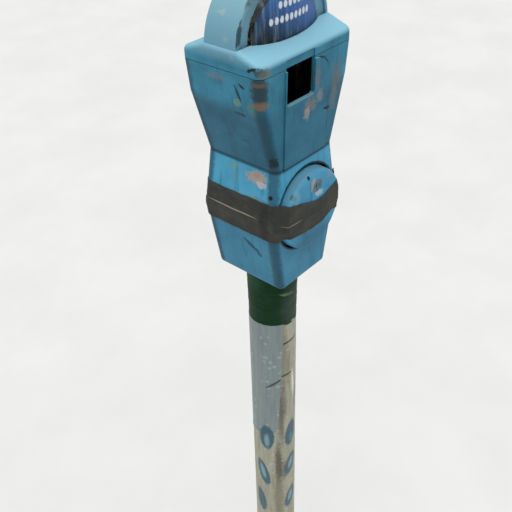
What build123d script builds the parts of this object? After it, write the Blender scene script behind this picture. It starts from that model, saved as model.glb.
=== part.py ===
"""Single-space parking meter on a pipe post, as an assembly of separate pieces.

Millimetres. Origin on the ground under the pole's axis, +Z up, +X to the meter's right-hand
side as seen from its front, and the front (coin opening, vault door) faces -Y.
"""
from build123d import *
from math import acos, atan2, cos, degrees, hypot, pi, radians, sin
import os

os.makedirs("parts", exist_ok=True)

# ---------------------------------------------------------------- driving dimensions
# heights, from the ground up
POST_H = 1015.0
VAULT_LOWER_H = 113.0
VAULT_UPPER_H = 81.0
HOUSING_LOWER_H = 91.0
HOUSING_UPPER_H = 42.0
DOOR_RISE = 120.0

# outer width, depth and corner radius of the head at each level
SEAM_W, SEAM_D, SEAM_R = 179.0, 128.0, 13.0
CREASE_W = 171.0
WAIST_W, WAIST_D, WAIST_R = 117.0, 121.0, 10.0
RIDGE_W, RIDGE_D, RIDGE_R = 139.0, 128.5, 10.0
BOTTOM_D, BOTTOM_R = 121.5, 9.0
WALL = 5.0
FLOOR = 6.0
VAULT_EDGE_FILLET = 8.0

# pole and foot
POLE_R = 36.5
POLE_WALL = 5.2
POLE_LIFT = 1.0
POLE_TOP_IN_VAULT = 45.0
FOOT_R = 100.0
FOOT_T = 12.0
HUB_WALL = 13.5
HUB_H = 48.0
ANCHOR_PCD = 152.0
ANCHOR_HOLE_R = 8.0
ANCHOR_COUNT = 4
SET_SCREW_R = 4.0
SET_SCREW_HEAD = 3.0
SET_SCREW_COUNT = 3
CLAMP_WALL = 6.5
CLAMP_BOLT_R = 3.0
CLAMP_SHANK_R = 2.5
CLAMP_BOLT_OUT = 3.4
CLAMP_BOLT_COUNT = 4
CLAMP_SIDE_GAP = 2.25

# coverings on the pole
TAPE_T = 2.0
GREEN_TAPE_L = 100.0
WRAP_T = 0.8
WRAP_L = 540.0

# clearances
RUNNING = 0.05
SLIDING = 0.4
SOFT_GAP = 0.3
STUCK_GAP = 0.1

# pad and opening on the front of the housing
PAD_RAISE = 2.0
PAD_LEFT, PAD_RIGHT = -46.0, 39.5
PAD_TOP_DROP = 2.0
PAD_ARC_R = 29.0
OPENING_LEFT, OPENING_RIGHT = -44.0, 10.0
OPENING_H = 47.0
OPENING_FILLET = 4.0

# cap
CAP_GASKET_T = 0.8
CAP_GAP = 0.2
RIM_H = 14.0
RIM_FILLET = 7.0
LEDGE_H = 26.0
DOME_R = 87.0
DOME_SPRING = 16.0
DOME_HALF_DEPTH = 26.0
DOME_WALL = 5.5
DOME_EDGE = 2.0
RECESS_DEPTH = 1.6
RECESS_H = 10.0

# cap lock in the housing's rear wall
CAP_LOCK_DROP = 20.0
CAP_LOCK_R = 7.0
CAP_ROTOR_R = 4.5
CAM_L = 12.0

# windows in the dome
WINDOW_R = 67.0
WINDOW_CENTRE = 20.0
LENS_BULGE = 40.3
LENS_R = 162.0
LENS_T = 3.0
BEZEL_RECESS = 3.0
BEZEL_T = 5.0
BEZEL_LAP = 2.0
BEZEL_SCREW_R = 2.2
BEZEL_SCREW_PCR = 75.0
CARD_T = 1.0
CARD_R = 61.0

# vault door and its lock
DOOR_R = 58.0
DOOR_GAP = 3.5
DOOR_FACE_Y = -76.0
DOOR_T = 20.0
DOOR_BEVEL = 5.0
DOOR_SKIN = 7.0
DOOR_RIM = 12.0
LOCK_X, LOCK_RISE = 6.0, 34.0
LOCK_R = 9.0
ROTOR_R = 5.5
BOLT_THROW = 6.0
BOLT_L, BOLT_H, BOLT_D = 24.0, 10.0, 6.0
BOLT_BACK = 2.0
SEAT_T = 3.0
SEAT_WALL = 3.0
SEAT_LEDGE = 6.0
SEAT_CLEARANCE = 1.5
TAPE_BAND_T = 1.2
TAPE_BAND_RISE, TAPE_BAND_W = 93.0, 54.0
DOOR_TAPE_DIP = 5.0

# coin can
CAN_WALL = 1.6
CAN_FRONT, CAN_BACK = -48.0, 52.0
CAN_LID_T = 4.0
CAN_SLOT_X, CAN_SLOT_W, CAN_SLOT_L = 25.0, 9.0, 34.0
HANDLE_W = 52.0
HANDLE_WIRE_R = 1.5
HANDLE_STAND_OFF = 2.0
HANDLE_EAR_X = 22.0

# movement: two plates with the wheels between them
PLATE_FRONT_Y = -14.0
PLATE_REAR_Y = 16.0
PLATE_T = 2.0
PLATE_LEFT, PLATE_RIGHT = -49.0, 36.0
PLATE_TOP_RISE = 28.0
PILLAR_R = 3.5
BARREL_X, BARREL_DROP = -14.0, 30.0
BARREL_TEETH, BARREL_MODULE = 48, 1.25
DRUM_R = 24.0
WINDING_R = 4.0
CENTRE_TEETH, CENTRE_MODULE = 40, 1.0
THIRD_TEETH, THIRD_MODULE = 40, 0.8
PINION_TEETH = 16
TO_CENTRE, TO_THIRD, TO_ESCAPE = -50.0, -100.0, 160.0
ARBOR_R = 2.0
ESCAPE_TEETH, ESCAPE_R = 15, 11.0
BALANCE_R = 12.0
POINTER_RISE = 20.0
DIAL_Y, DIAL_T, DIAL_R = 22.0, 1.5, 56.0
CHUTE_X = 42.0
CHUTE_WALL = 1.2
FLAG_X, FLAG_RISE = 38.0, 6.0
FEELER_DROP = 45.0

# ---------------------------------------------------------------- sizes that follow
Z_VAULT_BOTTOM = POST_H
Z_VAULT_RIDGE = Z_VAULT_BOTTOM + VAULT_LOWER_H
Z_WAIST = Z_VAULT_RIDGE + VAULT_UPPER_H
Z_CREASE = Z_WAIST + HOUSING_LOWER_H
Z_SEAM = Z_CREASE + HOUSING_UPPER_H
Z_DOOR = Z_VAULT_BOTTOM + DOOR_RISE
Z_CAP = Z_SEAM + CAP_GASKET_T + CAP_GAP
DOOR_OPENING_R = DOOR_R + DOOR_GAP
SEAT_R = DOOR_OPENING_R - SEAT_LEDGE
CAN_R = SEAT_R - SEAT_CLEARANCE
HUB_R = POLE_R + HUB_WALL
CLAMP_R = POLE_R + CLAMP_WALL
BOTTOM_W = 2 * (CLAMP_R + CLAMP_SIDE_GAP + WALL)
TAPE_BAND_LOW = Z_VAULT_BOTTOM + TAPE_BAND_RISE
TAPE_BAND_HIGH = TAPE_BAND_LOW + TAPE_BAND_W
CREASE_D = WAIST_D + (SEAM_D - WAIST_D) * (Z_CREASE - Z_WAIST) / (Z_SEAM - Z_WAIST)
POLE_TOP = Z_VAULT_BOTTOM + POLE_TOP_IN_VAULT
CLAMP_BOLT_PCR = POLE_R + CLAMP_BOLT_OUT
LENS_CENTRE_Y = LENS_R - LENS_BULGE
WINDOW_Z = Z_CAP + WINDOW_CENTRE
DOME_Z = Z_CAP + DOME_SPRING
PLATE_BOTTOM = Z_WAIST + FLOOR + 4.0
PLATE_TOP = Z_SEAM + PLATE_TOP_RISE
POINTER_X, POINTER_Z = 0.0, Z_SEAM + POINTER_RISE
LOCK_Z = Z_DOOR + LOCK_RISE
CAP_LOCK_Z = Z_SEAM - CAP_LOCK_DROP
FLAG_Z = POINTER_Z + FLAG_RISE
FEELER_Z = Z_SEAM - FEELER_DROP
BARREL_Z = Z_SEAM - BARREL_DROP
CHUTE_W, CHUTE_L = CAN_SLOT_W - 3.0, CAN_SLOT_L - 4.0


def export(name, shape):
    """Write one node's STEP file."""
    export_step(shape, f"parts/{name}.step")


# ---------------------------------------------------------------- small solid helpers
def block(x0, x1, y0, y1, z0, z1):
    """Box between two corners."""
    return Pos((x0 + x1) / 2, (y0 + y1) / 2, (z0 + z1) / 2) * Box(x1 - x0, y1 - y0, z1 - z0)


def rod_z(x, y, radius, z0, z1):
    """Cylinder along Z."""
    return Pos(x, y, (z0 + z1) / 2) * Cylinder(radius, z1 - z0)


def rod_y(x, z, radius, y0, y1):
    """Cylinder along Y."""
    return Pos(x, (y0 + y1) / 2, z) * Rot(90, 0, 0) * Cylinder(radius, y1 - y0)


def tube_z(outer, inner, z0, z1):
    """Tube along Z on the pole's axis."""
    return rod_z(0, 0, outer, z0, z1) - rod_z(0, 0, inner, z0 - 1, z1 + 1)


def tube_y(x, z, outer, inner, y0, y1):
    """Tube along Y."""
    return rod_y(x, z, outer, y0, y1) - rod_y(x, z, inner, y0 - 1, y1 + 1)


def slab(outline, y0, y1):
    """Solid between two depths from an outline drawn in X and Z."""
    return extrude(Plane.XZ.offset(-y1) * outline, amount=y1 - y0)


def outline_face(points):
    """Flat face inside a closed run of straight lines."""
    return make_face(Polyline(*points, close=True))


def stack(levels):
    """Ruled loft through rounded rectangles, each given as height, width, depth and radius."""
    return loft([Pos(0, 0, z) * RectangleRounded(w, d, r) for z, w, d, r in levels], ruled=True)


def around(radius, count, start=0.0):
    """Points evenly round a circle."""
    turns = [radians(start) + 2 * pi * i / count for i in range(count)]
    return [(radius * cos(a), radius * sin(a)) for a in turns]


def mirror_pair(shape):
    """The shape and its mirror image across the plane y = 0."""
    return shape + mirror(shape, about=Plane.XZ)


def group(shapes):
    """Several separate solids in one node."""
    solids = []
    for shape in shapes:
        solids.extend(shape.solids())
    return Compound(children=solids)


# ---------------------------------------------------------------- outer shells
def head_levels(grow=0.0):
    """The housing's outer levels, from the waist up, grown by an offset."""
    return [
        (Z_WAIST, WAIST_W + 2 * grow, WAIST_D + 2 * grow, WAIST_R + grow),
        (Z_CREASE, CREASE_W + 2 * grow, CREASE_D + 2 * grow, SEAM_R + grow),
        (Z_SEAM, SEAM_W + 2 * grow, SEAM_D + 2 * grow, SEAM_R + grow),
    ]


def vault_levels(grow=0.0):
    """The vault casing's outer levels, from the bottom up, grown by an offset."""
    return [
        (Z_VAULT_BOTTOM, BOTTOM_W + 2 * grow, BOTTOM_D + 2 * grow, BOTTOM_R + grow),
        (Z_VAULT_RIDGE, RIDGE_W + 2 * grow, RIDGE_D + 2 * grow, RIDGE_R + grow),
        (Z_WAIST, WAIST_W + 2 * grow, WAIST_D + 2 * grow, WAIST_R + grow),
    ]


def pad_outline():
    """Raised pad on the housing's front: straight left and right sides, one large rounded corner."""
    top = Z_SEAM - PAD_TOP_DROP
    corner_x = PAD_RIGHT - PAD_ARC_R
    low = Z_WAIST - 1
    lines = Polyline(
        (corner_x, top), (PAD_LEFT, top), (PAD_LEFT, low), (PAD_RIGHT, low), (PAD_RIGHT, top - PAD_ARC_R)
    )
    arc = RadiusArc((corner_x, top), (PAD_RIGHT, top - PAD_ARC_R), PAD_ARC_R)
    return make_face([lines, arc])


def opening_cut():
    """Cutter for the coin and handle opening, open at its top edge."""
    z0 = Z_SEAM - OPENING_H
    cutter = block(OPENING_LEFT, OPENING_RIGHT, -SEAM_D, -SEAM_D / 2 + WALL + 4, z0, Z_SEAM + 5)
    corner = cutter.edges().filter_by(Axis.Y).sort_by(Axis.Z)[0:2]
    return fillet(corner, OPENING_FILLET)


def waist_bolt_points():
    """Places of the four bolts that hold the housing to the vault."""
    x, y = WAIST_W / 2 - 17, WAIST_D / 2 - 12
    return [(sx * x, sy * y) for sx in (-1, 1) for sy in (-1, 1)]


def build_housing():
    """Upper casing: tapered shell, floor, front pad and the open-topped front opening."""
    outer = stack(head_levels())
    pad = stack([(z, w, d, r) for z, w, d, r in head_levels(PAD_RAISE)]) & slab(pad_outline(), -SEAM_D, 0)
    inner = stack(head_levels(-WALL)) & block(-SEAM_W, SEAM_W, -SEAM_D, SEAM_D, Z_WAIST + FLOOR, Z_SEAM + 1)
    lip = Pos(0, 0, Z_SEAM) * Box(SEAM_W - 2 * WALL - 0.5, SEAM_D - 2 * WALL - 0.5, 2)
    shell = outer + (pad - block(-SEAM_W, SEAM_W, -SEAM_D, SEAM_D, Z_SEAM, Z_SEAM + 9)) - inner - lip
    shell -= opening_cut()
    shell -= chute_passage(Z_WAIST - 1, Z_WAIST + FLOOR + 1)
    shell -= rod_y(0, CAP_LOCK_Z, CAP_LOCK_R + RUNNING, 0, SEAM_D)
    for x, y in waist_bolt_points():
        shell -= rod_z(x, y, CLAMP_BOLT_R + SLIDING, Z_WAIST - 1, Z_WAIST + FLOOR + 1)
    return shell


def chute_passage(z0, z1):
    """Clear hole for the coin chute through a floor."""
    half_x, half_y = CAN_SLOT_W / 2 + 1.5 + SOFT_GAP, CAN_SLOT_L / 2 + 1.5 + SOFT_GAP
    return block(CHUTE_X - half_x, CHUTE_X + half_x, -half_y, half_y, z0, z1)


def build_vault():
    """Lower casing: widest at the ridge, round door opening, floor with the pole's hole."""
    outer = stack(vault_levels())
    outer = fillet(outer.edges().filter_by(Plane.XY).group_by(Axis.Z)[0], VAULT_EDGE_FILLET)
    inner = stack(vault_levels(-WALL)) & block(
        -RIDGE_W, RIDGE_W, -RIDGE_D, RIDGE_D, Z_VAULT_BOTTOM + FLOOR, Z_WAIST - FLOOR
    )
    seat_y = DOOR_FACE_Y + DOOR_T + SOFT_GAP
    seat = tube_y(0, Z_DOOR, DOOR_OPENING_R + SEAT_WALL, SEAT_R, seat_y, seat_y + SEAT_T)
    collar = tube_y(0, Z_DOOR, DOOR_OPENING_R + SEAT_WALL, DOOR_OPENING_R, -RIDGE_D / 2 + 1, seat_y + SEAT_T)
    shell = outer - inner + ((seat + collar) & outer)
    shell -= rod_y(0, Z_DOOR, DOOR_OPENING_R, -RIDGE_D, seat_y)
    shell -= bolt_keepers()
    shell -= rod_z(0, 0, POLE_R + RUNNING, Z_VAULT_BOTTOM - 1, Z_VAULT_BOTTOM + FLOOR + 1)
    shell -= chute_passage(Z_WAIST - FLOOR - 1, Z_WAIST + 1)
    for x, y in waist_bolt_points():
        shell -= rod_z(x, y, CLAMP_BOLT_R + RUNNING, Z_WAIST - FLOOR - 1, Z_WAIST + 1)
    for x, y in around(CLAMP_BOLT_PCR, CLAMP_BOLT_COUNT, 45):
        shell -= rod_z(x, y, CLAMP_SHANK_R + RUNNING, Z_VAULT_BOTTOM - 1, Z_VAULT_BOTTOM + FLOOR + 1)
    return shell


def bolt_keepers():
    """Cutters for the two slots beside the opening that the door's bolts enter."""
    y = DOOR_FACE_Y + DOOR_T - BOLT_D / 2
    half_y, half_z = BOLT_D / 2 + SLIDING, BOLT_H / 2 + SLIDING
    reach = DOOR_R - BOLT_BACK + BOLT_THROW + 1
    return block(-reach, reach, y - half_y, y + half_y, Z_DOOR - half_z, Z_DOOR + half_z)


# ---------------------------------------------------------------- pole and foot
def build_foot():
    """Round base flange with a hub, four anchor holes and three set-screw holes."""
    plate = rod_z(0, 0, FOOT_R, 0, FOOT_T)
    plate = chamfer(plate.edges().group_by(Axis.Z)[-1], 2)
    hub = rod_z(0, 0, HUB_R, FOOT_T / 2, FOOT_T + HUB_H)
    hub = fillet(hub.edges().group_by(Axis.Z)[-1], 3)
    foot = plate + hub - rod_z(0, 0, POLE_R + RUNNING, -1, FOOT_T + HUB_H + 1)
    for x, y in around(ANCHOR_PCD / 2, ANCHOR_COUNT, 45):
        foot -= rod_z(x, y, ANCHOR_HOLE_R, -1, FOOT_T + 1)
    for i in range(SET_SCREW_COUNT):
        foot -= set_screw(i, SET_SCREW_R + RUNNING)
    return foot


def set_screw(index, radius):
    """One radial screw that presses on the pole from the hub."""
    length = HUB_R + SET_SCREW_HEAD - POLE_R
    screw = Pos(POLE_R + length / 2, 0, FOOT_T + HUB_H / 2) * Rot(0, 90, 0) * Cylinder(radius, length)
    return Rot(0, 0, 30 + 360 * index / SET_SCREW_COUNT) * screw


def build_set_screws():
    """Set screws with a hexagon socket in each outer end."""
    screws = []
    for i in range(SET_SCREW_COUNT):
        socket = Pos(HUB_R + 1, 0, FOOT_T + HUB_H / 2) * Rot(0, 90, 0) * extrude(RegularPolygon(2.2, 6), 5)
        screws.append(set_screw(i, SET_SCREW_R) - Rot(0, 0, 30 + 360 * i / SET_SCREW_COUNT) * socket)
    return group(screws)


def build_clamp():
    """Collar round the pole's top inside the vault."""
    collar = tube_z(CLAMP_R, POLE_R + RUNNING, Z_VAULT_BOTTOM + FLOOR, POLE_TOP - 2)
    for x, y in around(CLAMP_BOLT_PCR, CLAMP_BOLT_COUNT, 45):
        collar -= rod_z(x, y, CLAMP_SHANK_R + RUNNING, Z_VAULT_BOTTOM, POLE_TOP)
    return collar


def build_clamp_bolts():
    """Bolts that draw the collar down on the vault's floor, heads on the collar."""
    bolts = []
    for x, y in around(CLAMP_BOLT_PCR, CLAMP_BOLT_COUNT, 45):
        shank = rod_z(x, y, CLAMP_SHANK_R, Z_VAULT_BOTTOM + 2, POLE_TOP - 2)
        bolts.append(shank + rod_z(x, y, CLAMP_BOLT_R, POLE_TOP - 2, POLE_TOP + 1))
    return group(bolts)


def build_cradle():
    """Saddle on the pole's end that the coin can slides on."""
    width, depth = 60.0, 80.0
    saddle = block(-width / 2, width / 2, -depth / 2, depth / 2, POLE_TOP + 1, Z_DOOR - CAN_R + 7)
    saddle -= rod_y(0, Z_DOOR, CAN_R + SOFT_GAP, -depth, depth)
    saddle += rod_z(0, 0, POLE_R - POLE_WALL - SLIDING, POLE_TOP - 15, POLE_TOP + 2)
    saddle += rod_z(0, 0, POLE_R - 1, POLE_TOP, POLE_TOP + 2)
    return saddle


# ---------------------------------------------------------------- tape and wraps
def build_tape_band():
    """Cloth tape round the vault, stopping at the door's opening."""
    outer = stack(vault_levels(TAPE_BAND_T))
    band = outer - stack(vault_levels(STUCK_GAP))
    band &= block(-RIDGE_W, RIDGE_W, -RIDGE_D, RIDGE_D, TAPE_BAND_LOW, TAPE_BAND_HIGH)
    return band - rod_y(0, Z_DOOR, DOOR_OPENING_R + SOFT_GAP, -RIDGE_D, 0)


def build_door_tape():
    """The stretch of the same tape that lies over the door and moves with it."""
    skin = door_blank(TAPE_BAND_T, DOOR_FACE_Y - TAPE_BAND_T, -RIDGE_D / 2 - SOFT_GAP)
    skin -= door_blank(STUCK_GAP, DOOR_FACE_Y - STUCK_GAP, 0)
    low, high = TAPE_BAND_LOW - DOOR_TAPE_DIP, TAPE_BAND_HIGH - DOOR_TAPE_DIP
    return skin & block(-RIDGE_W, RIDGE_W, -RIDGE_D, 0, low, high)


# ---------------------------------------------------------------- vault door and lock
def door_blank(grow, front, back):
    """Bevelled disc of the door, grown sideways, between two depths."""
    disc = rod_y(0, Z_DOOR, DOOR_R + grow, front, back)
    return fillet(disc.edges().group_by(Axis.Y)[0], DOOR_BEVEL)


def build_door():
    """Hollow-backed plug door with the lock's hole and two guide slots for its bolts."""
    back = DOOR_FACE_Y + DOOR_T
    door = door_blank(0, DOOR_FACE_Y, back)
    door -= rod_y(0, Z_DOOR, DOOR_R - DOOR_RIM, DOOR_FACE_Y + DOOR_SKIN, back + 1)
    door -= rod_y(LOCK_X, LOCK_Z, LOCK_R + RUNNING, DOOR_FACE_Y - 1, back + 1)
    half_h = BOLT_H / 2 + SLIDING
    for side in (-1, 1):
        x0, x1 = sorted((side * (DOOR_R - BOLT_BACK - BOLT_L - 1), side * (DOOR_R + 1)))
        door -= block(x0, x1, back - BOLT_D - SLIDING, back + 1, Z_DOOR - half_h, Z_DOOR + half_h)
    return door


def build_door_bolt(side):
    """One sliding bolt behind the door, drawn in."""
    y = DOOR_FACE_Y + DOOR_T - BOLT_D / 2
    bolt = block(
        DOOR_R - BOLT_BACK - BOLT_L, DOOR_R - BOLT_BACK,
        y - BOLT_D / 2, y + BOLT_D / 2, Z_DOOR - BOLT_H / 2, Z_DOOR + BOLT_H / 2,
    )
    bolt = chamfer(bolt.edges().filter_by(Axis.Z).sort_by(Axis.X)[-2:], 1.5)
    return bolt if side > 0 else mirror(bolt, about=Plane.YZ)


def build_lock_shell():
    """Fixed body of the door's lock."""
    back = DOOR_FACE_Y + DOOR_T
    return tube_y(LOCK_X, LOCK_Z, LOCK_R, ROTOR_R + RUNNING, DOOR_FACE_Y + 0.5, back + 4)


def build_lock_rotor():
    """Turning core of the door's lock with a keyway and a tailpiece."""
    back = DOOR_FACE_Y + DOOR_T
    rotor = rod_y(LOCK_X, LOCK_Z, ROTOR_R, DOOR_FACE_Y + 1.0, back + 7)
    rotor -= block(LOCK_X - 0.8, LOCK_X + 0.8, DOOR_FACE_Y, DOOR_FACE_Y + 9, LOCK_Z - 3.5, LOCK_Z + 3.5)
    tail = rod_y(LOCK_X, LOCK_Z, ROTOR_R, back + 5, back + 7)
    return rotor + tail + block(LOCK_X - 3, LOCK_X + 3, back + 5, back + 7, LOCK_Z - 12, LOCK_Z)


# ---------------------------------------------------------------- coin can and chute
def build_can():
    """Round coin can lying front to back, closed at its back, slotted on top."""
    can = rod_y(0, Z_DOOR, CAN_R, CAN_FRONT, CAN_BACK)
    can -= rod_y(0, Z_DOOR, CAN_R - CAN_WALL, CAN_FRONT - 1, CAN_BACK - CAN_WALL)
    slot = block(
        CAN_SLOT_X - CAN_SLOT_W / 2, CAN_SLOT_X + CAN_SLOT_W / 2,
        -CAN_SLOT_L / 2, CAN_SLOT_L / 2, Z_DOOR, Z_DOOR + CAN_R,
    )
    return can - slot


def build_can_lid():
    """Pressed lid on the can's front with two ears for the pull handle."""
    lid = rod_y(0, Z_DOOR, CAN_R - CAN_WALL - RUNNING, CAN_FRONT + 1, CAN_FRONT + 1 + CAN_LID_T)
    for x in (-HANDLE_EAR_X, HANDLE_EAR_X):
        ear = block(x - 2, x + 2, CAN_FRONT - 5, CAN_FRONT + 2, Z_DOOR - 4, Z_DOOR + 4)
        pin_hole = Rot(0, 90, 0) * Cylinder(HANDLE_WIRE_R + RUNNING, 9)
        lid += ear - Pos(x, CAN_FRONT - HANDLE_STAND_OFF, Z_DOOR) * pin_hole
    return lid


def build_can_handle():
    """Wire bail on the lid, folded down, short enough to swing out behind the closed door."""
    half, r = HANDLE_W / 2, HANDLE_WIRE_R
    y = CAN_FRONT - HANDLE_STAND_OFF
    drop = y - (DOOR_FACE_Y + DOOR_SKIN) - 2 * r
    bar = Pos(0, y, Z_DOOR - drop) * Rot(0, 90, 0) * Cylinder(r, 2 * half)
    for side in (-1, 1):
        bar += rod_z(side * half, y, r, Z_DOOR - drop, Z_DOOR)
        bar += Pos(side * half, y, Z_DOOR - drop) * Sphere(r) + Pos(side * half, y, Z_DOOR) * Sphere(r)
        bar += Pos(side * (half - 4), y, Z_DOOR) * Rot(0, 90, 0) * Cylinder(r, 8)
    return bar


def chute_shell(grow):
    """Loft of the chute from the movement's floor to just above the can."""
    lens = [(CHUTE_X, Z_WAIST + FLOOR + 2), (CHUTE_X, Z_WAIST - FLOOR), (CAN_SLOT_X, Z_DOOR + CAN_R)]
    wide, long = CHUTE_W + 2 * grow, CHUTE_L + 2 * grow
    upper = [Pos(x, 0, z) * Rectangle(wide, long) for x, z in lens[:2]]
    lower = [Pos(x, 0, z) * Rectangle(wide, long) for x, z in lens[1:]]
    return loft(upper, ruled=True) + loft(lower, ruled=True)


def build_chute():
    """Sheet-metal coin chute through the waist, bent towards the can's slot."""
    return chute_shell(CHUTE_WALL) - chute_shell(0)


def build_coin_guide():
    """Upright channel beside the movement that drops coins into the chute."""
    z0, z1 = Z_WAIST + FLOOR + 2.3, Z_SEAM - 14
    left, half_l = CHUTE_X - CHUTE_W / 2, CHUTE_L / 2
    outer = block(
        left - CHUTE_WALL, left + CHUTE_W + CHUTE_WALL, -half_l - CHUTE_WALL, half_l + CHUTE_WALL, z0, z1
    )
    inner = block(left, left + CHUTE_W, -half_l, half_l, z0 - 1, z1 + 1)
    foot = block(PLATE_RIGHT - 4, left, -4, 4, z0, z0 + CHUTE_WALL)
    lever_slot = block(left - 2, CHUTE_X + 1, -3, 3, FEELER_Z - 9, FEELER_Z + 9)
    return outer - inner - lever_slot + foot


# ---------------------------------------------------------------- waist joint
def build_waist_gasket():
    """Thin gasket inside the joint of the two casings, resting in the housing."""
    z0 = Z_WAIST + FLOOR
    plate = Pos(0, 0, z0 + 0.75) * Box(WAIST_W - 24, WAIST_D - 18, 1.5)
    plate -= chute_passage(z0 - 1, z0 + 3)
    for x, y in waist_bolt_points():
        plate -= rod_z(x, y, CLAMP_BOLT_R + SLIDING, z0 - 1, z0 + 3)
    return plate


def build_waist_bolts():
    """Hexagon bolts through the housing's floor into the vault's top."""
    bolts = []
    for x, y in waist_bolt_points():
        head = Pos(x, y, Z_WAIST + FLOOR + 1.5) * extrude(RegularPolygon(5.5, 6), 4)
        bolts.append(head + rod_z(x, y, CLAMP_BOLT_R, Z_WAIST - FLOOR - 2, Z_WAIST + FLOOR + 2))
    return group(bolts)


# ---------------------------------------------------------------- cap, windows, cap lock
def ledge_profile(drop, inset):
    """Side view of the rim and its two sloping ledges, as an outline in Y and Z."""
    half, top_half = SEAM_D / 2 - inset, DOME_HALF_DEPTH
    low = 0.0 if drop == 0 else -1.0
    rim, ledge = RIM_H - 1.5 - drop, LEDGE_H - drop
    points = [(-half, low), (-half, rim), (-top_half, ledge), (top_half, ledge), (half, rim), (half, low)]
    face = make_face(Polyline(*[(y, Z_CAP + z) for y, z in points], close=True))
    return extrude(Plane.YZ.offset(-SEAM_W) * face, amount=2 * SEAM_W)


def arch_profile(inset):
    """Front view of the dome: leaning sides that run tangent into one arc."""
    foot, radius = SEAM_W / 2 - inset, DOME_R - inset
    low = Z_CAP if inset == 0 else Z_CAP - 1
    turn = acos(radius / hypot(foot, DOME_Z - low)) - atan2(DOME_Z - low, foot)
    x, z = radius * cos(turn), DOME_Z + radius * sin(turn)
    sides = Polyline((-x, z), (-foot, low), (foot, low), (x, z))
    arc = ThreePointArc((-x, z), (0, DOME_Z + radius), (x, z))
    return make_face([sides, arc])


def lens_prism(outline_r, bulge_grow, y_back):
    """Half-round column from a plane out to the bulged front of a window."""
    half_disc = Circle(outline_r) - Pos(0, -outline_r) * Rectangle(3 * outline_r, 2 * outline_r)
    column = slab(Pos(0, WINDOW_Z) * half_disc, -80, y_back)
    return column & rod_z(0, LENS_CENTRE_Y, LENS_R + bulge_grow, Z_CAP - 5, Z_CAP + 120)


def build_lens(front):
    """Clear moulded window: bulged face with a wall round its edge."""
    y_back = -(DOME_HALF_DEPTH - BEZEL_RECESS)
    lens = lens_prism(WINDOW_R, 0, y_back) - lens_prism(WINDOW_R - LENS_T, -LENS_T, y_back + 1)
    half_inner = WINDOW_R - LENS_T
    lens -= block(-half_inner, half_inner, -LENS_BULGE + LENS_T, y_back + 1, WINDOW_Z - 1, WINDOW_Z + 1)
    return lens if front else mirror(lens, about=Plane.XZ)


def window_cut(radius):
    """Outline of the window's opening, straight-sided below its centre."""
    return Pos(0, WINDOW_Z) * Circle(radius) + Pos(0, WINDOW_Z - radius / 2) * Rectangle(2 * radius, radius)


def bezel_screw_points():
    """Places of the six screws round a bezel."""
    turns = [radians(12 + 31.2 * i) for i in range(6)]
    return [(BEZEL_SCREW_PCR * cos(a), DOME_Z + 2 + BEZEL_SCREW_PCR * sin(a)) for a in turns]


def build_bezel(front):
    """Flat frame that fills the dome's face round a window."""
    y0 = -(DOME_HALF_DEPTH - BEZEL_RECESS)
    plate = slab(arch_profile(DOME_WALL + RUNNING), y0, y0 + BEZEL_T)
    plate &= block(-SEAM_W, SEAM_W, -SEAM_D, 0, Z_CAP + 12, Z_CAP + 200)
    plate -= slab(window_cut(WINDOW_R - BEZEL_LAP), y0 - 1, y0 + BEZEL_T + 1)
    for x, z in bezel_screw_points():
        plate -= rod_y(x, z, BEZEL_SCREW_R, y0 + 0.6, y0 + BEZEL_T + 1)
    return plate if front else mirror(plate, about=Plane.XZ)


def build_bezel_screws():
    """Screws in the back of both bezels."""
    y0 = -(DOME_HALF_DEPTH - BEZEL_RECESS)
    screws = []
    for x, z in bezel_screw_points():
        screw = rod_y(x, z, BEZEL_SCREW_R, y0 + 0.6, y0 + BEZEL_T + 2)
        screws += [screw, mirror(screw, about=Plane.XZ)]
    return group(screws)


def build_cap():
    """Cap: rounded rim with sloping ledges and the deep arch over the windows."""
    blank = extrude(Pos(0, 0, Z_CAP) * RectangleRounded(SEAM_W, SEAM_D, SEAM_R), 60) & ledge_profile(0, 0)
    rim_edges = [e for e in blank.edges() if e.bounding_box().min.Z > Z_CAP + 2 and on_outside(e)]
    blank = fillet(rim_edges, RIM_FILLET)
    hollow = extrude(
        Pos(0, 0, Z_CAP - 1) * RectangleRounded(SEAM_W - 2 * WALL, SEAM_D - 2 * WALL, SEAM_R - WALL), 60
    ) & ledge_profile(WALL, WALL)
    arch = slab(arch_profile(0), -DOME_HALF_DEPTH, DOME_HALF_DEPTH)
    arch = fillet([e for e in arch.edges() if on_arch_rim(e)], DOME_EDGE)
    well = slab(arch_profile(DOME_WALL), -DOME_HALF_DEPTH - 1, DOME_HALF_DEPTH + 1)
    cap = blank - hollow + arch - well
    notch = lens_prism(WINDOW_R + SOFT_GAP, SOFT_GAP, 0)
    notch += block(
        -WINDOW_R + LENS_T, WINDOW_R - LENS_T, -LENS_BULGE, 0, Z_CAP - 1, WINDOW_Z + 1
    ) & rod_z(0, LENS_CENTRE_Y, LENS_R - LENS_T, Z_CAP - 5, Z_CAP + 60)
    cap -= mirror_pair(notch)
    recess = block(
        OPENING_LEFT, OPENING_RIGHT, -SEAM_D, -SEAM_D / 2 + RECESS_DEPTH, Z_CAP - 1, Z_CAP + RECESS_H
    )
    return cap - recess


def on_outside(edge):
    """True for an edge on the outer wall of the cap's rim."""
    centre = edge @ 0.5
    return abs(centre.Y) > SEAM_D / 2 - SEAM_R or abs(centre.X) > SEAM_W / 2 - SEAM_R


def on_arch_rim(edge):
    """True for the front and rear edges of the arch, its feet left out."""
    y0, y1 = (edge @ 0).Y, (edge @ 1).Y
    runs_in_face = abs(abs(y0) - DOME_HALF_DEPTH) < 0.01 and abs(y0 - y1) < 0.01
    return runs_in_face and (edge @ 0.5).Z > Z_CAP + 1


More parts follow.
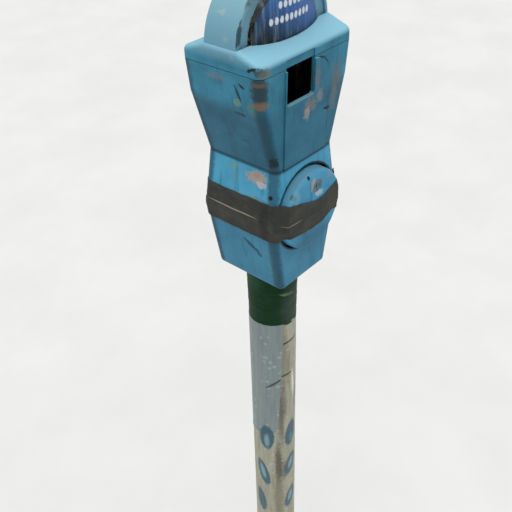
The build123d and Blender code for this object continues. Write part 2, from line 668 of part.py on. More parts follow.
def build_notice_card():
    """Curved printed card behind the front window."""
    outer = lens_prism(CARD_R, -LENS_T - SOFT_GAP, -16)
    inner = rod_z(0, LENS_CENTRE_Y, LENS_R - LENS_T - SOFT_GAP - CARD_T, Z_CAP, Z_CAP + 110)
    return outer - inner - block(-CARD_R, CARD_R, -60, 0, Z_CAP, WINDOW_Z + 1.5)


def build_cap_lock_shell():
    """Fixed body of the cap's lock in the housing's rear wall."""
    return tube_y(0, CAP_LOCK_Z, CAP_LOCK_R, CAP_ROTOR_R + RUNNING, SEAM_D / 2 - 15, SEAM_D / 2 + 0.5)


def build_cap_gasket():
    """Flat gasket on the housing's top edge, broken at the opening."""
    inset = 0.8
    outline = RectangleRounded(SEAM_W - 2 * inset, SEAM_D - 2 * inset, SEAM_R - inset)
    outer = extrude(Pos(0, 0, Z_SEAM) * outline, CAP_GASKET_T)
    bore = RectangleRounded(SEAM_W - 2 * WALL, SEAM_D - 2 * WALL, SEAM_R - WALL)
    inner = extrude(Pos(0, 0, Z_SEAM - 1) * bore, 5)
    return outer - inner - block(OPENING_LEFT, OPENING_RIGHT, -SEAM_D, -40, Z_SEAM - 1, Z_SEAM + 5)


def build_cap_lock_rotor():
    """Turning core of the cap's lock with a cam that stands up, clear of the hook."""
    y_out, y_in = SEAM_D / 2 + 0.3, SEAM_D / 2 - 21
    z = CAP_LOCK_Z
    rotor = rod_y(0, z, CAP_ROTOR_R, y_in, y_out)
    rotor -= block(-0.8, 0.8, y_out - 7, y_out + 1, z - 3, z + 3)
    return rotor + block(-3, 3, y_in, y_in + 3, z, z + CAM_L)


def build_cap_catch():
    """Hook under the cap's rear ledge; the lock's cam swings over its foot."""
    y0, y1 = SEAM_D / 2 - 21 - SLIDING, SEAM_D / 2 - 18 + SLIDING
    z = CAP_LOCK_Z
    arm = block(-CAM_L - 5, -CAM_L - 1, y0, y1, z - 8, Z_CAP + LEDGE_H)
    foot = block(-CAM_L - 5, -CAM_L + 5, y0, y1, z - 8, z - 3 - SLIDING)
    under_ledge = ledge_profile(WALL, WALL) + block(-SEAM_W, SEAM_W, y0, y1, z - 9, Z_CAP)
    return (arm & under_ledge) + foot


# ---------------------------------------------------------------- movement
def step_from(x, z, distance, angle):
    """Point at a distance and an angle in the X, Z plane."""
    return x + distance * cos(radians(angle)), z + distance * sin(radians(angle))


def pitch_radius(teeth, module):
    """Radius of a gear's pitch circle."""
    return teeth * module / 2


BARREL_PITCH = pitch_radius(BARREL_TEETH, BARREL_MODULE)
CENTRE_PITCH = pitch_radius(CENTRE_TEETH, CENTRE_MODULE)
THIRD_PITCH = pitch_radius(THIRD_TEETH, THIRD_MODULE)
CENTRE_X, CENTRE_Z = step_from(
    BARREL_X, BARREL_Z, BARREL_PITCH + pitch_radius(PINION_TEETH, BARREL_MODULE), TO_CENTRE
)
THIRD_X, THIRD_Z = step_from(
    CENTRE_X, CENTRE_Z, CENTRE_PITCH + pitch_radius(PINION_TEETH, CENTRE_MODULE), TO_THIRD
)
ESCAPE_X, ESCAPE_Z = step_from(
    THIRD_X, THIRD_Z, THIRD_PITCH + pitch_radius(PINION_TEETH, THIRD_MODULE), TO_ESCAPE
)
FORK_X, FORK_Z = step_from(ESCAPE_X, ESCAPE_Z, ESCAPE_R + 6.5, 195)
BALANCE_X, BALANCE_Z = step_from(FORK_X, FORK_Z, 15.0, -75)


def gear_outline(teeth, module, first_tooth):
    """Flat-sided teeth with backlash; first_tooth is one tooth's angle in degrees."""
    pitch = 2 * pi / teeth
    root = pitch_radius(teeth, module) - 1.2 * module
    tip = pitch_radius(teeth, module) + 0.8 * module
    flanks = ((-0.29, root), (-0.11, tip), (0.11, tip), (0.29, root))
    points = []
    for i in range(teeth):
        centre = radians(first_tooth) + i * pitch
        for part, radius in flanks:
            angle = centre + part * pitch
            points.append((radius * cos(angle), radius * sin(angle)))
    return outline_face(points)


def gear(x, z, teeth, module, first_tooth, y0, y1):
    """Toothed disc at a place, between two depths."""
    return slab(Pos(x, z) * gear_outline(teeth, module, first_tooth), y0, y1)


def wheel(x, z, teeth, module, first_tooth, y0, thickness):
    """Thin toothed wheel with a hole for its arbor and four windows."""
    disc = gear(x, z, teeth, module, first_tooth, y0, y0 + thickness)
    disc -= rod_y(x, z, ARBOR_R, y0 - 1, y0 + thickness + 1)
    inner = pitch_radius(teeth, module) * 0.52
    for dx, dz in around(inner, 4, first_tooth + 45):
        disc -= rod_y(x + dx, z + dz, inner * 0.42, y0 - 1, y0 + thickness + 1)
    return disc


def arbor(x, z, module, first_tooth, y0, y1):
    """Arbor between the plates with its pinion cut on it."""
    shaft = rod_y(x, z, ARBOR_R, PLATE_FRONT_Y + 0.2, PLATE_REAR_Y + PLATE_T - 0.2)
    return shaft + gear(x, z, PINION_TEETH, module, first_tooth, y0, y1)


def facing_gap(angle):
    """First-tooth angle that turns a pinion's tooth gap towards the wheel that drives it."""
    return angle + 180 + 180 / PINION_TEETH


def pivots():
    """Places of the arbors that run in both plates, with their radius."""
    return [
        (BARREL_X, BARREL_Z, WINDING_R), (CENTRE_X, CENTRE_Z, ARBOR_R), (THIRD_X, THIRD_Z, ARBOR_R),
        (ESCAPE_X, ESCAPE_Z, ARBOR_R), (FORK_X, FORK_Z, ARBOR_R), (BALANCE_X, BALANCE_Z, ARBOR_R),
        (POINTER_X, POINTER_Z, ARBOR_R),
    ]


def pillar_points():
    """Places of the four pillars between the plates."""
    low, high = PLATE_BOTTOM + 7, PLATE_TOP - 7
    return [(PLATE_LEFT + 7, low), (PLATE_RIGHT - 7, low), (PLATE_LEFT + 7, high), (PLATE_RIGHT - 7, high)]


def build_plate(y0):
    """One movement plate with its pivot holes."""
    outline = Pos((PLATE_LEFT + PLATE_RIGHT) / 2, (PLATE_BOTTOM + PLATE_TOP) / 2) * RectangleRounded(
        PLATE_RIGHT - PLATE_LEFT, PLATE_TOP - PLATE_BOTTOM, 6
    )
    plate = slab(outline, y0, y0 + PLATE_T)
    for x, z, radius in pivots():
        plate -= rod_y(x, z, radius + RUNNING, y0 - 1, y0 + PLATE_T + 1)
    for x, z in pillar_points():
        plate -= rod_y(x, z, 1.5 + RUNNING, y0 - 1, y0 + PLATE_T + 1)
    return plate


def build_movement_base():
    """Angle plate that carries both movement plates on the housing's floor."""
    z0 = Z_WAIST + FLOOR + 1.5
    plate = block(PLATE_LEFT + 5, PLATE_RIGHT - 5, PLATE_FRONT_Y, PLATE_REAR_Y + PLATE_T, z0, PLATE_BOTTOM)
    y0, y1 = PLATE_FRONT_Y + PLATE_T, PLATE_REAR_Y
    return plate + block(PLATE_LEFT + 14, PLATE_RIGHT - 14, y0, y1, z0, PLATE_BOTTOM + 5)


def build_pillars():
    """Four turned pillars between the plates."""
    return group([rod_y(x, z, PILLAR_R, PLATE_FRONT_Y + PLATE_T, PLATE_REAR_Y) for x, z in pillar_points()])


def build_pillar_screws():
    """Screws through both plates, drawn against the pillars' ends."""
    screws = []
    for x, z in pillar_points():
        for y0, out in ((PLATE_FRONT_Y, -1), (PLATE_REAR_Y + PLATE_T, 1)):
            inner = y0 - out * (PLATE_T - 0.02)
            shank = rod_y(x, z, 1.5, min(y0, inner), max(y0, inner))
            head = rod_y(x, z, 3, min(y0, y0 + out * 1.6), max(y0, y0 + out * 1.6))
            screws.append(shank + head)
    return group(screws)


def build_barrel():
    """Mainspring drum with its gear."""
    y0, y1 = PLATE_FRONT_Y + PLATE_T + 1, PLATE_FRONT_Y + PLATE_T + 14
    drum = tube_y(BARREL_X, BARREL_Z, DRUM_R, DRUM_R - 1.5, y0, y1)
    drum += tube_y(BARREL_X, BARREL_Z, DRUM_R, WINDING_R + RUNNING, y0, y0 + 1.2)
    toothed = gear(BARREL_X, BARREL_Z, BARREL_TEETH, BARREL_MODULE, TO_CENTRE, y1 - 0.5, y1 + 2.5)
    return drum + toothed - rod_y(BARREL_X, BARREL_Z, WINDING_R + RUNNING, y0 - 1, y1 + 4)


def build_mainspring():
    """Wound spring strip inside the drum, as an even spiral."""
    turns, thick, steps = 6, 0.7, 24
    r0, r1 = WINDING_R + 1.5, DRUM_R - 2.6
    inner, outer = [], []
    for i in range(turns * steps + 1):
        angle = 2 * pi * i / steps
        radius = r0 + (r1 - r0) * i / (turns * steps)
        inner.append((radius * cos(angle), radius * sin(angle)))
        outer.append(((radius + thick) * cos(angle), (radius + thick) * sin(angle)))
    strip = Pos(BARREL_X, BARREL_Z) * outline_face(inner + outer[::-1])
    y0 = PLATE_FRONT_Y + PLATE_T + 2.8
    return slab(strip, y0, y0 + 10)


def build_winding_arbor():
    """Winding arbor with its square end towards the front opening."""
    shaft = rod_y(BARREL_X, BARREL_Z, WINDING_R, PLATE_FRONT_Y - 4.5, PLATE_REAR_Y + PLATE_T - 0.2)
    square = Pos(BARREL_X, PLATE_FRONT_Y - 8, BARREL_Z) * Box(5.4, 8, 5.4)
    return shaft + square


def build_ratchet():
    """Ratchet wheel on the winding arbor, in front of the front plate."""
    teeth, tip, root = 20, 11.0, 9.2
    points = []
    for i in range(teeth):
        angle = 2 * pi * i / teeth
        points.append((tip * cos(angle), tip * sin(angle)))
        points.append((root * cos(angle + 0.03), root * sin(angle + 0.03)))
    disc = slab(Pos(BARREL_X, BARREL_Z) * outline_face(points), PLATE_FRONT_Y - 3.2, PLATE_FRONT_Y - 1.0)
    return disc - rod_y(BARREL_X, BARREL_Z, WINDING_R, PLATE_FRONT_Y - 6, PLATE_FRONT_Y + 1)


def build_click():
    """Click beside the ratchet, its nose just clear of the teeth."""
    x, z = BARREL_X + 15.9, BARREL_Z + 9
    pin = rod_y(x, z, 1.8, PLATE_FRONT_Y - 4, PLATE_FRONT_Y - 0.4)
    body = outline_face([(x - 2.5, z + 2), (x + 2.5, z + 1), (x + 2, z - 3), (x - 4.5, z - 7.5)])
    return pin + slab(body, PLATE_FRONT_Y - 3.2, PLATE_FRONT_Y - 1.0)


def build_escape_wheel():
    """Escape wheel with pointed, leaning teeth."""
    points = []
    for i in range(ESCAPE_TEETH):
        angle = 2 * pi * i / ESCAPE_TEETH
        points.append((ESCAPE_R * cos(angle), ESCAPE_R * sin(angle)))
        points.append((ESCAPE_R * 0.72 * cos(angle + 0.10), ESCAPE_R * 0.72 * sin(angle + 0.10)))
        points.append((ESCAPE_R * 0.72 * cos(angle + 0.34), ESCAPE_R * 0.72 * sin(angle + 0.34)))
    y0 = PLATE_REAR_Y - 9
    disc = slab(Pos(ESCAPE_X, ESCAPE_Z) * outline_face(points), y0, y0 + 1.5)
    return disc - rod_y(ESCAPE_X, ESCAPE_Z, ARBOR_R, y0 - 1, y0 + 3)


def build_fork():
    """Pallet fork on its staff, its pallets clear of the escape wheel."""
    y0 = PLATE_REAR_Y - 9
    staff = rod_y(FORK_X, FORK_Z, ARBOR_R, PLATE_FRONT_Y + 0.2, PLATE_REAR_Y + PLATE_T - 0.2)
    towards = degrees(atan2(ESCAPE_Z - FORK_Z, ESCAPE_X - FORK_X))
    arms = Pos(FORK_X, FORK_Z) * Rot(0, 0, towards + 90) * Rectangle(17, 2.2)
    tail = Pos(*step_from(FORK_X, FORK_Z, 4.0, towards + 180)) * Rot(0, 0, towards) * Rectangle(9, 1.8)
    boss = rod_y(FORK_X, FORK_Z, 3.5, y0, y0 + 2)
    return staff + slab(arms, y0, y0 + 1.5) + slab(tail, y0, y0 + 1.5) + boss


def build_balance():
    """Balance wheel: rim, two arms and staff."""
    y0 = PLATE_FRONT_Y + PLATE_T + 3
    staff = rod_y(BALANCE_X, BALANCE_Z, ARBOR_R, PLATE_FRONT_Y + 0.2, PLATE_REAR_Y + PLATE_T - 0.2)
    rim = tube_y(BALANCE_X, BALANCE_Z, BALANCE_R, BALANCE_R - 1.8, y0, y0 + 2.2)
    arms = Pos(BALANCE_X, y0 + 1.1, BALANCE_Z) * Box(2 * BALANCE_R - 2, 2.2, 2.4)
    return staff + rim + arms


def build_pointer_arbor():
    """Arbor that carries the time pointer."""
    return rod_y(POINTER_X, POINTER_Z, ARBOR_R, PLATE_FRONT_Y + 0.2, DIAL_Y + 7.5) + rod_y(
        POINTER_X, POINTER_Z, 4.0, PLATE_FRONT_Y + PLATE_T + 4, PLATE_FRONT_Y + PLATE_T + 6
    )


def build_pointer():
    """Tapered time pointer, lying at the expired end of the dial."""
    hub = rod_y(POINTER_X, POINTER_Z, 4.5, DIAL_Y + 4.2, DIAL_Y + 6.2)
    blade = outline_face([
        (POINTER_X, POINTER_Z - 2.6), (POINTER_X, POINTER_Z + 2.6),
        (POINTER_X - DIAL_R + 16, POINTER_Z + 2.2), (POINTER_X - DIAL_R + 8, POINTER_Z + 1.0),
        (POINTER_X - DIAL_R + 16, POINTER_Z - 0.2),
    ])
    bore = rod_y(POINTER_X, POINTER_Z, ARBOR_R, DIAL_Y, DIAL_Y + 9)
    return hub + slab(blade, DIAL_Y + 4.6, DIAL_Y + 5.8) - bore


def build_dial():
    """Half-round dial on two posts from the rear plate."""
    half_disc = Circle(DIAL_R) - Pos(0, -DIAL_R) * Rectangle(3 * DIAL_R, 2 * DIAL_R)
    half_disc &= Rectangle(96, 200)
    foot = Pos(0, -6) * Rectangle(60, 14)
    dial = slab(Pos(POINTER_X, POINTER_Z) * (half_disc + foot), DIAL_Y, DIAL_Y + DIAL_T)
    dial -= rod_y(POINTER_X, POINTER_Z, ARBOR_R + 1, DIAL_Y - 1, DIAL_Y + DIAL_T + 1)
    for x in (-24, 24):
        dial += rod_y(x, POINTER_Z - 4, 2.5, PLATE_REAR_Y + PLATE_T, DIAL_Y + 0.5)
    return dial - rod_y(FLAG_X, FLAG_Z, 1.5 + RUNNING, DIAL_Y - 1, DIAL_Y + DIAL_T + 1)


def build_flag():
    """Expired flag: a small plate that stands up on its pin."""
    pin = rod_y(FLAG_X, FLAG_Z, 1.5, DIAL_Y + 0.1, DIAL_Y + DIAL_T + 2.2)
    plate = Pos(FLAG_X - 6, FLAG_Z + 12) * RectangleRounded(18, 24, 3)
    return pin + slab(plate, DIAL_Y + DIAL_T + 0.6, DIAL_Y + DIAL_T + 1.6)


def build_feeler():
    """Coin feeler lever on a pin from the coin guide's side."""
    x, z = PLATE_RIGHT - 6, FEELER_Z
    lever = block(x - 3, CHUTE_X - 1, -1.2, 1.2, z - 1.6, z + 1.6)
    pin = rod_y(x, z, ARBOR_R, PLATE_FRONT_Y + PLATE_T + 0.2, PLATE_REAR_Y - 0.2)
    return lever + pin + rod_y(x, z, 3.5, -2, 2)


def build_wrap():
    """Paper wrap round the pole below the tape."""
    z1 = Z_VAULT_BOTTOM - GREEN_TAPE_L - SOFT_GAP
    return tube_z(POLE_R + WRAP_T, POLE_R + STUCK_GAP, z1 - WRAP_L, z1)


def build_green_tape():
    """Turns of tape round the pole just under the vault."""
    z1 = Z_VAULT_BOTTOM - SOFT_GAP
    return tube_z(POLE_R + TAPE_T, POLE_R + STUCK_GAP, z1 - GREEN_TAPE_L, z1)


def main():
    """Build and write every node."""
    y_third = PLATE_REAR_Y - 4.0
    nodes = {
        "base_flange": build_foot(),
        "flange_set_screws": build_set_screws(),
        "pole": tube_z(POLE_R, POLE_R - POLE_WALL, POLE_LIFT, POLE_TOP),
        "pole_wrap": build_wrap(),
        "green_tape": build_green_tape(),
        "vault_casing": build_vault(),
        "pole_clamp": build_clamp(),
        "clamp_bolts": build_clamp_bolts(),
        "can_cradle": build_cradle(),
        "tape_band": build_tape_band(),
        "vault_door": build_door(),
        "door_tape": build_door_tape(),
        "door_bolt_left": build_door_bolt(-1),
        "door_bolt_right": build_door_bolt(1),
        "door_lock_shell": build_lock_shell(),
        "door_lock_rotor": build_lock_rotor(),
        "coin_can": build_can(),
        "coin_can_lid": build_can_lid(),
        "can_handle": build_can_handle(),
        "coin_chute": build_chute(),
        "coin_guide": build_coin_guide(),
        "waist_gasket": build_waist_gasket(),
        "waist_bolts": build_waist_bolts(),
        "mechanism_housing": build_housing(),
        "cap_gasket": build_cap_gasket(),
        "cap_catch": build_cap_catch(),
        "cap": build_cap(),
        "front_bezel": build_bezel(True),
        "rear_bezel": build_bezel(False),
        "bezel_screws": build_bezel_screws(),
        "front_lens": build_lens(True),
        "rear_lens": build_lens(False),
        "notice_card": build_notice_card(),
        "cap_lock_shell": build_cap_lock_shell(),
        "cap_lock_rotor": build_cap_lock_rotor(),
        "movement_base": build_movement_base(),
        "front_plate": build_plate(PLATE_FRONT_Y),
        "rear_plate": build_plate(PLATE_REAR_Y),
        "pillars": build_pillars(),
        "pillar_screws": build_pillar_screws(),
        "spring_barrel": build_barrel(),
        "mainspring": build_mainspring(),
        "winding_arbor": build_winding_arbor(),
        "ratchet_wheel": build_ratchet(),
        "click": build_click(),
        "centre_arbor": arbor(
            CENTRE_X, CENTRE_Z, BARREL_MODULE, facing_gap(TO_CENTRE), PLATE_FRONT_Y + 14, PLATE_FRONT_Y + 20
        ),
        "centre_wheel": wheel(
            CENTRE_X, CENTRE_Z, CENTRE_TEETH, CENTRE_MODULE, TO_THIRD, PLATE_FRONT_Y + 21, 1.5
        ),
        "third_arbor": arbor(
            THIRD_X, THIRD_Z, CENTRE_MODULE, facing_gap(TO_THIRD), PLATE_FRONT_Y + 20, PLATE_FRONT_Y + 24
        ),
        "third_wheel": wheel(THIRD_X, THIRD_Z, THIRD_TEETH, THIRD_MODULE, TO_ESCAPE, y_third, 1.5),
        "escape_arbor": arbor(
            ESCAPE_X, ESCAPE_Z, THIRD_MODULE, facing_gap(TO_ESCAPE), y_third - 1, y_third + 3
        ),
        "escape_wheel": build_escape_wheel(),
        "pallet_fork": build_fork(),
        "balance_wheel": build_balance(),
        "pointer_arbor": build_pointer_arbor(),
        "time_pointer": build_pointer(),
        "dial_plate": build_dial(),
        "expired_flag": build_flag(),
        "coin_feeler": build_feeler(),
    }
    for name, shape in nodes.items():
        export(name, shape)
    print(len(nodes), "nodes")


main()
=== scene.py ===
"""Looks of a single-space parking meter on a pipe post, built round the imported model.

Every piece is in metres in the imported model's frame: origin on the ground under the pole, +Z up,
+X the meter's right-hand side and its front facing -Y. Lengths in the classes below are in
millimetres, as a maker would write them, and MM turns them to metres.
"""
import logging
from dataclasses import dataclass
from enum import Enum
from typing import Mapping, Sequence

import bmesh
import bpy
import numpy as np
from mathutils import Matrix, Vector


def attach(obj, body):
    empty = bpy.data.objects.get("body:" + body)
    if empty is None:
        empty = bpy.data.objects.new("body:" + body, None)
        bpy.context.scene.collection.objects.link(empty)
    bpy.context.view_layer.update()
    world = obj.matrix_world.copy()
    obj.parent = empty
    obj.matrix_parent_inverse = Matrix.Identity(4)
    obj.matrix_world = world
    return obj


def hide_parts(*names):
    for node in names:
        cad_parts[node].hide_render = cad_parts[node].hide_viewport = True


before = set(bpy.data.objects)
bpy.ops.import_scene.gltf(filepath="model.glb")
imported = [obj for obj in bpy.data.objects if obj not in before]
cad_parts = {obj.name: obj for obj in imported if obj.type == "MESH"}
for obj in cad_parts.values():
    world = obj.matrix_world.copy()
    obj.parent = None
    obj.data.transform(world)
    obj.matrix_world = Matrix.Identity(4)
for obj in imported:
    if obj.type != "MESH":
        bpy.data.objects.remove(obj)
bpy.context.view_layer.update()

MM = 0.001
SEED = 7
DOOR_HEIGHT = 1135.0
DOOR_RADIUS = 58.0
FRONT_ONLY = -40.0      # marks of the front stop behind this depth
THREAD_WAVE = 0.314     # wave texture scale that repeats once in ten units
LOG = logging.getLogger("meter")

Grid = np.ndarray
Triple = tuple[float, float, float]


# ---------------------------------------------------------------- small helpers
def paint(hex_colour: str) -> tuple[float, float, float, float]:
    """Turn an sRGB hex colour into linear light.

    Args:
        hex_colour: six hex digits, with or without a leading hash.

    Returns:
        Red, green, blue and alpha, each from 0 to 1.
    """
    digits = hex_colour.lstrip("#")
    srgb = np.array([int(digits[i:i + 2], 16) for i in (0, 2, 4)]) / 255.0
    linear = np.where(srgb <= 0.04045, srgb / 12.92, ((srgb + 0.055) / 1.055) ** 2.4)
    return (float(linear[0]), float(linear[1]), float(linear[2]), 1.0)


def put(tree: bpy.types.NodeTree, kind: str, inputs: Mapping | None = None, out: str | int = 0,
        **settings: object) -> bpy.types.NodeSocket:
    """Add one node with its settings and links.

    Args:
        tree: the material's node tree.
        kind: the node's type, without the leading ShaderNode.
        inputs: value or socket for each input, by name or index.
        out: which output to hand back.
        **settings: the node's own properties.

    Returns:
        The chosen output, or the node itself where it has none.
    """
    node = tree.nodes.new("ShaderNode" + kind)
    for name, value in settings.items():
        setattr(node, name, value)
    for name, value in (inputs or {}).items():
        if isinstance(value, bpy.types.NodeSocket):
            tree.links.new(value, node.inputs[name])
        else:
            node.inputs[name].default_value = value
    return node.outputs[out] if node.outputs else node


def calc(tree: bpy.types.NodeTree, operation: str, *values: object, **settings: object) -> bpy.types.NodeSocket:
    """Work out one sum on sockets or numbers."""
    return put(tree, "Math", dict(enumerate(values)), operation=operation, **settings)


def remap(tree: bpy.types.NodeTree, value: bpy.types.NodeSocket, low: float = 0.0, high: float = 1.0,
          start: object = 0.0, end: object = 1.0, **settings: object) -> bpy.types.NodeSocket:
    """Map low..high onto start..end, held at both ends."""
    spans = {"Value": value, "From Min": low, "From Max": high, "To Min": start, "To Max": end}
    return put(tree, "MapRange", spans, **settings)


def blend(tree: bpy.types.NodeTree, share: bpy.types.NodeSocket, base: object, over: object) -> bpy.types.NodeSocket:
    """Mix a base colour with another by a share; either may be a socket or a hex colour."""
    colours = [paint(colour) if isinstance(colour, str) else colour for colour in (base, over)]
    return put(tree, "Mix", {0: share, 6: colours[0], 7: colours[1]}, out=2, data_type="RGBA")


def noise(tree: bpy.types.NodeTree, place: bpy.types.NodeSocket, scale: float, detail: float,
          roughness: float = 0.5) -> bpy.types.NodeSocket:
    """Cloudy noise of about 0 to 1; its scale is one over the size in millimetres."""
    return put(tree, "TexNoise", {"Vector": place, "Scale": scale, "Detail": detail, "Roughness": roughness})


def axis(tree: bpy.types.NodeTree, place: bpy.types.NodeSocket, name: str) -> bpy.types.NodeSocket:
    """One coordinate of a position."""
    return put(tree, "SeparateXYZ", {0: place}, out=name)


def millimetres(tree: bpy.types.NodeTree, metres: bpy.types.NodeSocket) -> bpy.types.NodeSocket:
    """A position in metres, turned to millimetres."""
    return put(tree, "VectorMath", {0: metres, "Scale": 1 / MM}, operation="SCALE")


def blank(name: str) -> tuple[bpy.types.Material, bpy.types.NodeTree]:
    """Start a material with an empty node tree."""
    material = bpy.data.materials.new(name)
    material.use_nodes = True
    material.node_tree.nodes.clear()
    return material, material.node_tree


def smoothstep(low: float, high: float, value: Grid) -> Grid:
    """Ease from 0 at low to 1 at high: t squared times (3 - 2 t)."""
    t = np.clip((value - low) / (high - low), 0.0, 1.0)
    return t * t * (3.0 - 2.0 * t)


def ripple(u: Grid, v: Grid, seed: int, waves: int = 6, longest: float = 60.0) -> Grid:
    """Smooth random waviness: a sum of sines of random direction, length and phase.

    Args:
        u: first coordinate, in millimetres.
        v: second coordinate, in millimetres.
        seed: which random set of waves.
        waves: how many sines are added.
        longest: the longest wavelength, in millimetres.

    Returns:
        A value of about -1 to 1 at each point.
    """
    rng = np.random.default_rng(SEED * 1000 + seed)
    total = np.zeros(np.broadcast(u, v).shape)
    for i in range(waves):
        turn, phase = rng.uniform(0, 2 * np.pi, 2)
        length = longest / (1.0 + 0.7 * i)
        total = total + np.sin(2 * np.pi * (u * np.cos(turn) + v * np.sin(turn)) / length + phase) / (1 + 0.5 * i)
    return total / 2.2


# ---------------------------------------------------------------- finishes
class Marks(Enum):
    """Which shell a set of paint marks belongs to."""

    HOUSING = "housing"
    VAULT = "vault"
    CAP = "cap"
    DOOR = "door"


@dataclass(frozen=True)
class Blot:
    """One chip, stain or scuff: an ellipsoid with a ragged edge, in millimetres."""

    centre: Triple
    radii: Triple
    colour: str
    strength: float = 1.0
    turn: Triple = (0.0, 0.0, 0.0)
    ragged: float = 0.9
    soft: float = 0.22


def blot_mask(tree: bpy.types.NodeTree, place: bpy.types.NodeSocket, grain: bpy.types.NodeSocket,
              blot: Blot) -> bpy.types.NodeSocket:
    """Mask of one blot: 1 inside its ellipsoid, 0 outside, its edge shifted by the grain.

    Args:
        tree: the material's node tree.
        place: position in millimetres.
        grain: a noise value of about 0 to 1.
        blot: the blot.

    Returns:
        The mask's socket, already times the blot's strength.
    """
    local = put(tree, "Mapping", {0: place, "Location": blot.centre, "Rotation": tuple(np.radians(blot.turn)),
                                  "Scale": blot.radii}, vector_type="TEXTURE")
    reach = put(tree, "VectorMath", {0: local}, out="Value", operation="LENGTH")
    rough = calc(tree, "MULTIPLY_ADD", grain, 2.0 * blot.ragged, -blot.ragged)
    edge = calc(tree, "ADD", reach, rough)
    return remap(tree, edge, 1.0 + blot.soft, 1.0 - blot.soft, end=blot.strength,
                 interpolation_type="SMOOTHSTEP")


def lay_blots(tree: bpy.types.NodeTree, place: bpy.types.NodeSocket, grain: bpy.types.NodeSocket,
              colour: bpy.types.NodeSocket, blots: Sequence[Blot]) -> tuple:
    """Lay a set of blots over a colour.

    Returns:
        The new colour and the highest mask at each point.
    """
    height: bpy.types.NodeSocket | None = None
    for blot in blots:
        mask = blot_mask(tree, place, grain, blot)
        colour = blend(tree, mask, colour, blot.colour)
        height = mask if height is None else calc(tree, "MAXIMUM", height, mask)
    return colour, height


@dataclass(frozen=True)
class TaperedBox:
    """Outer walls of a casing: heights, half widths and half depths, where its inside begins, the height below which
    its paint is darkened as painted shade, and its waist seam.
    """

    heights: Triple
    half_widths: Triple
    half_depths: Triple
    floor: float
    ceiling: float
    painted_shade_from: float
    waist: float = 1209.0

    def half(self, tree: bpy.types.NodeTree, z: bpy.types.NodeSocket, sizes: Triple) -> bpy.types.NodeSocket:
        """Half size at a height: the lower of the two straight walls that meet at the middle level."""
        low, mid, high = self.heights
        walls = []
        for z0, s0, z1, s1 in ((low, sizes[0], mid, sizes[1]), (mid, sizes[1], high, sizes[2])):
            slope = (s1 - s0) / (z1 - z0)
            walls.append(calc(tree, "MULTIPLY_ADD", z, slope, s0 - slope * z0))
        return calc(tree, "MINIMUM", walls[0], walls[1])


HOUSING_WALLS = TaperedBox((1209.0, 1300.0, 1342.0), (58.5, 85.5, 89.5), (60.5, 62.9, 64.0), 1212.0, 1400.0, 1302.0)
VAULT_WALLS = TaperedBox((1015.0, 1128.0, 1209.0), (50.25, 69.5, 58.5), (60.75, 64.25, 60.5), 1018.0, 1206.0, 1140.0)
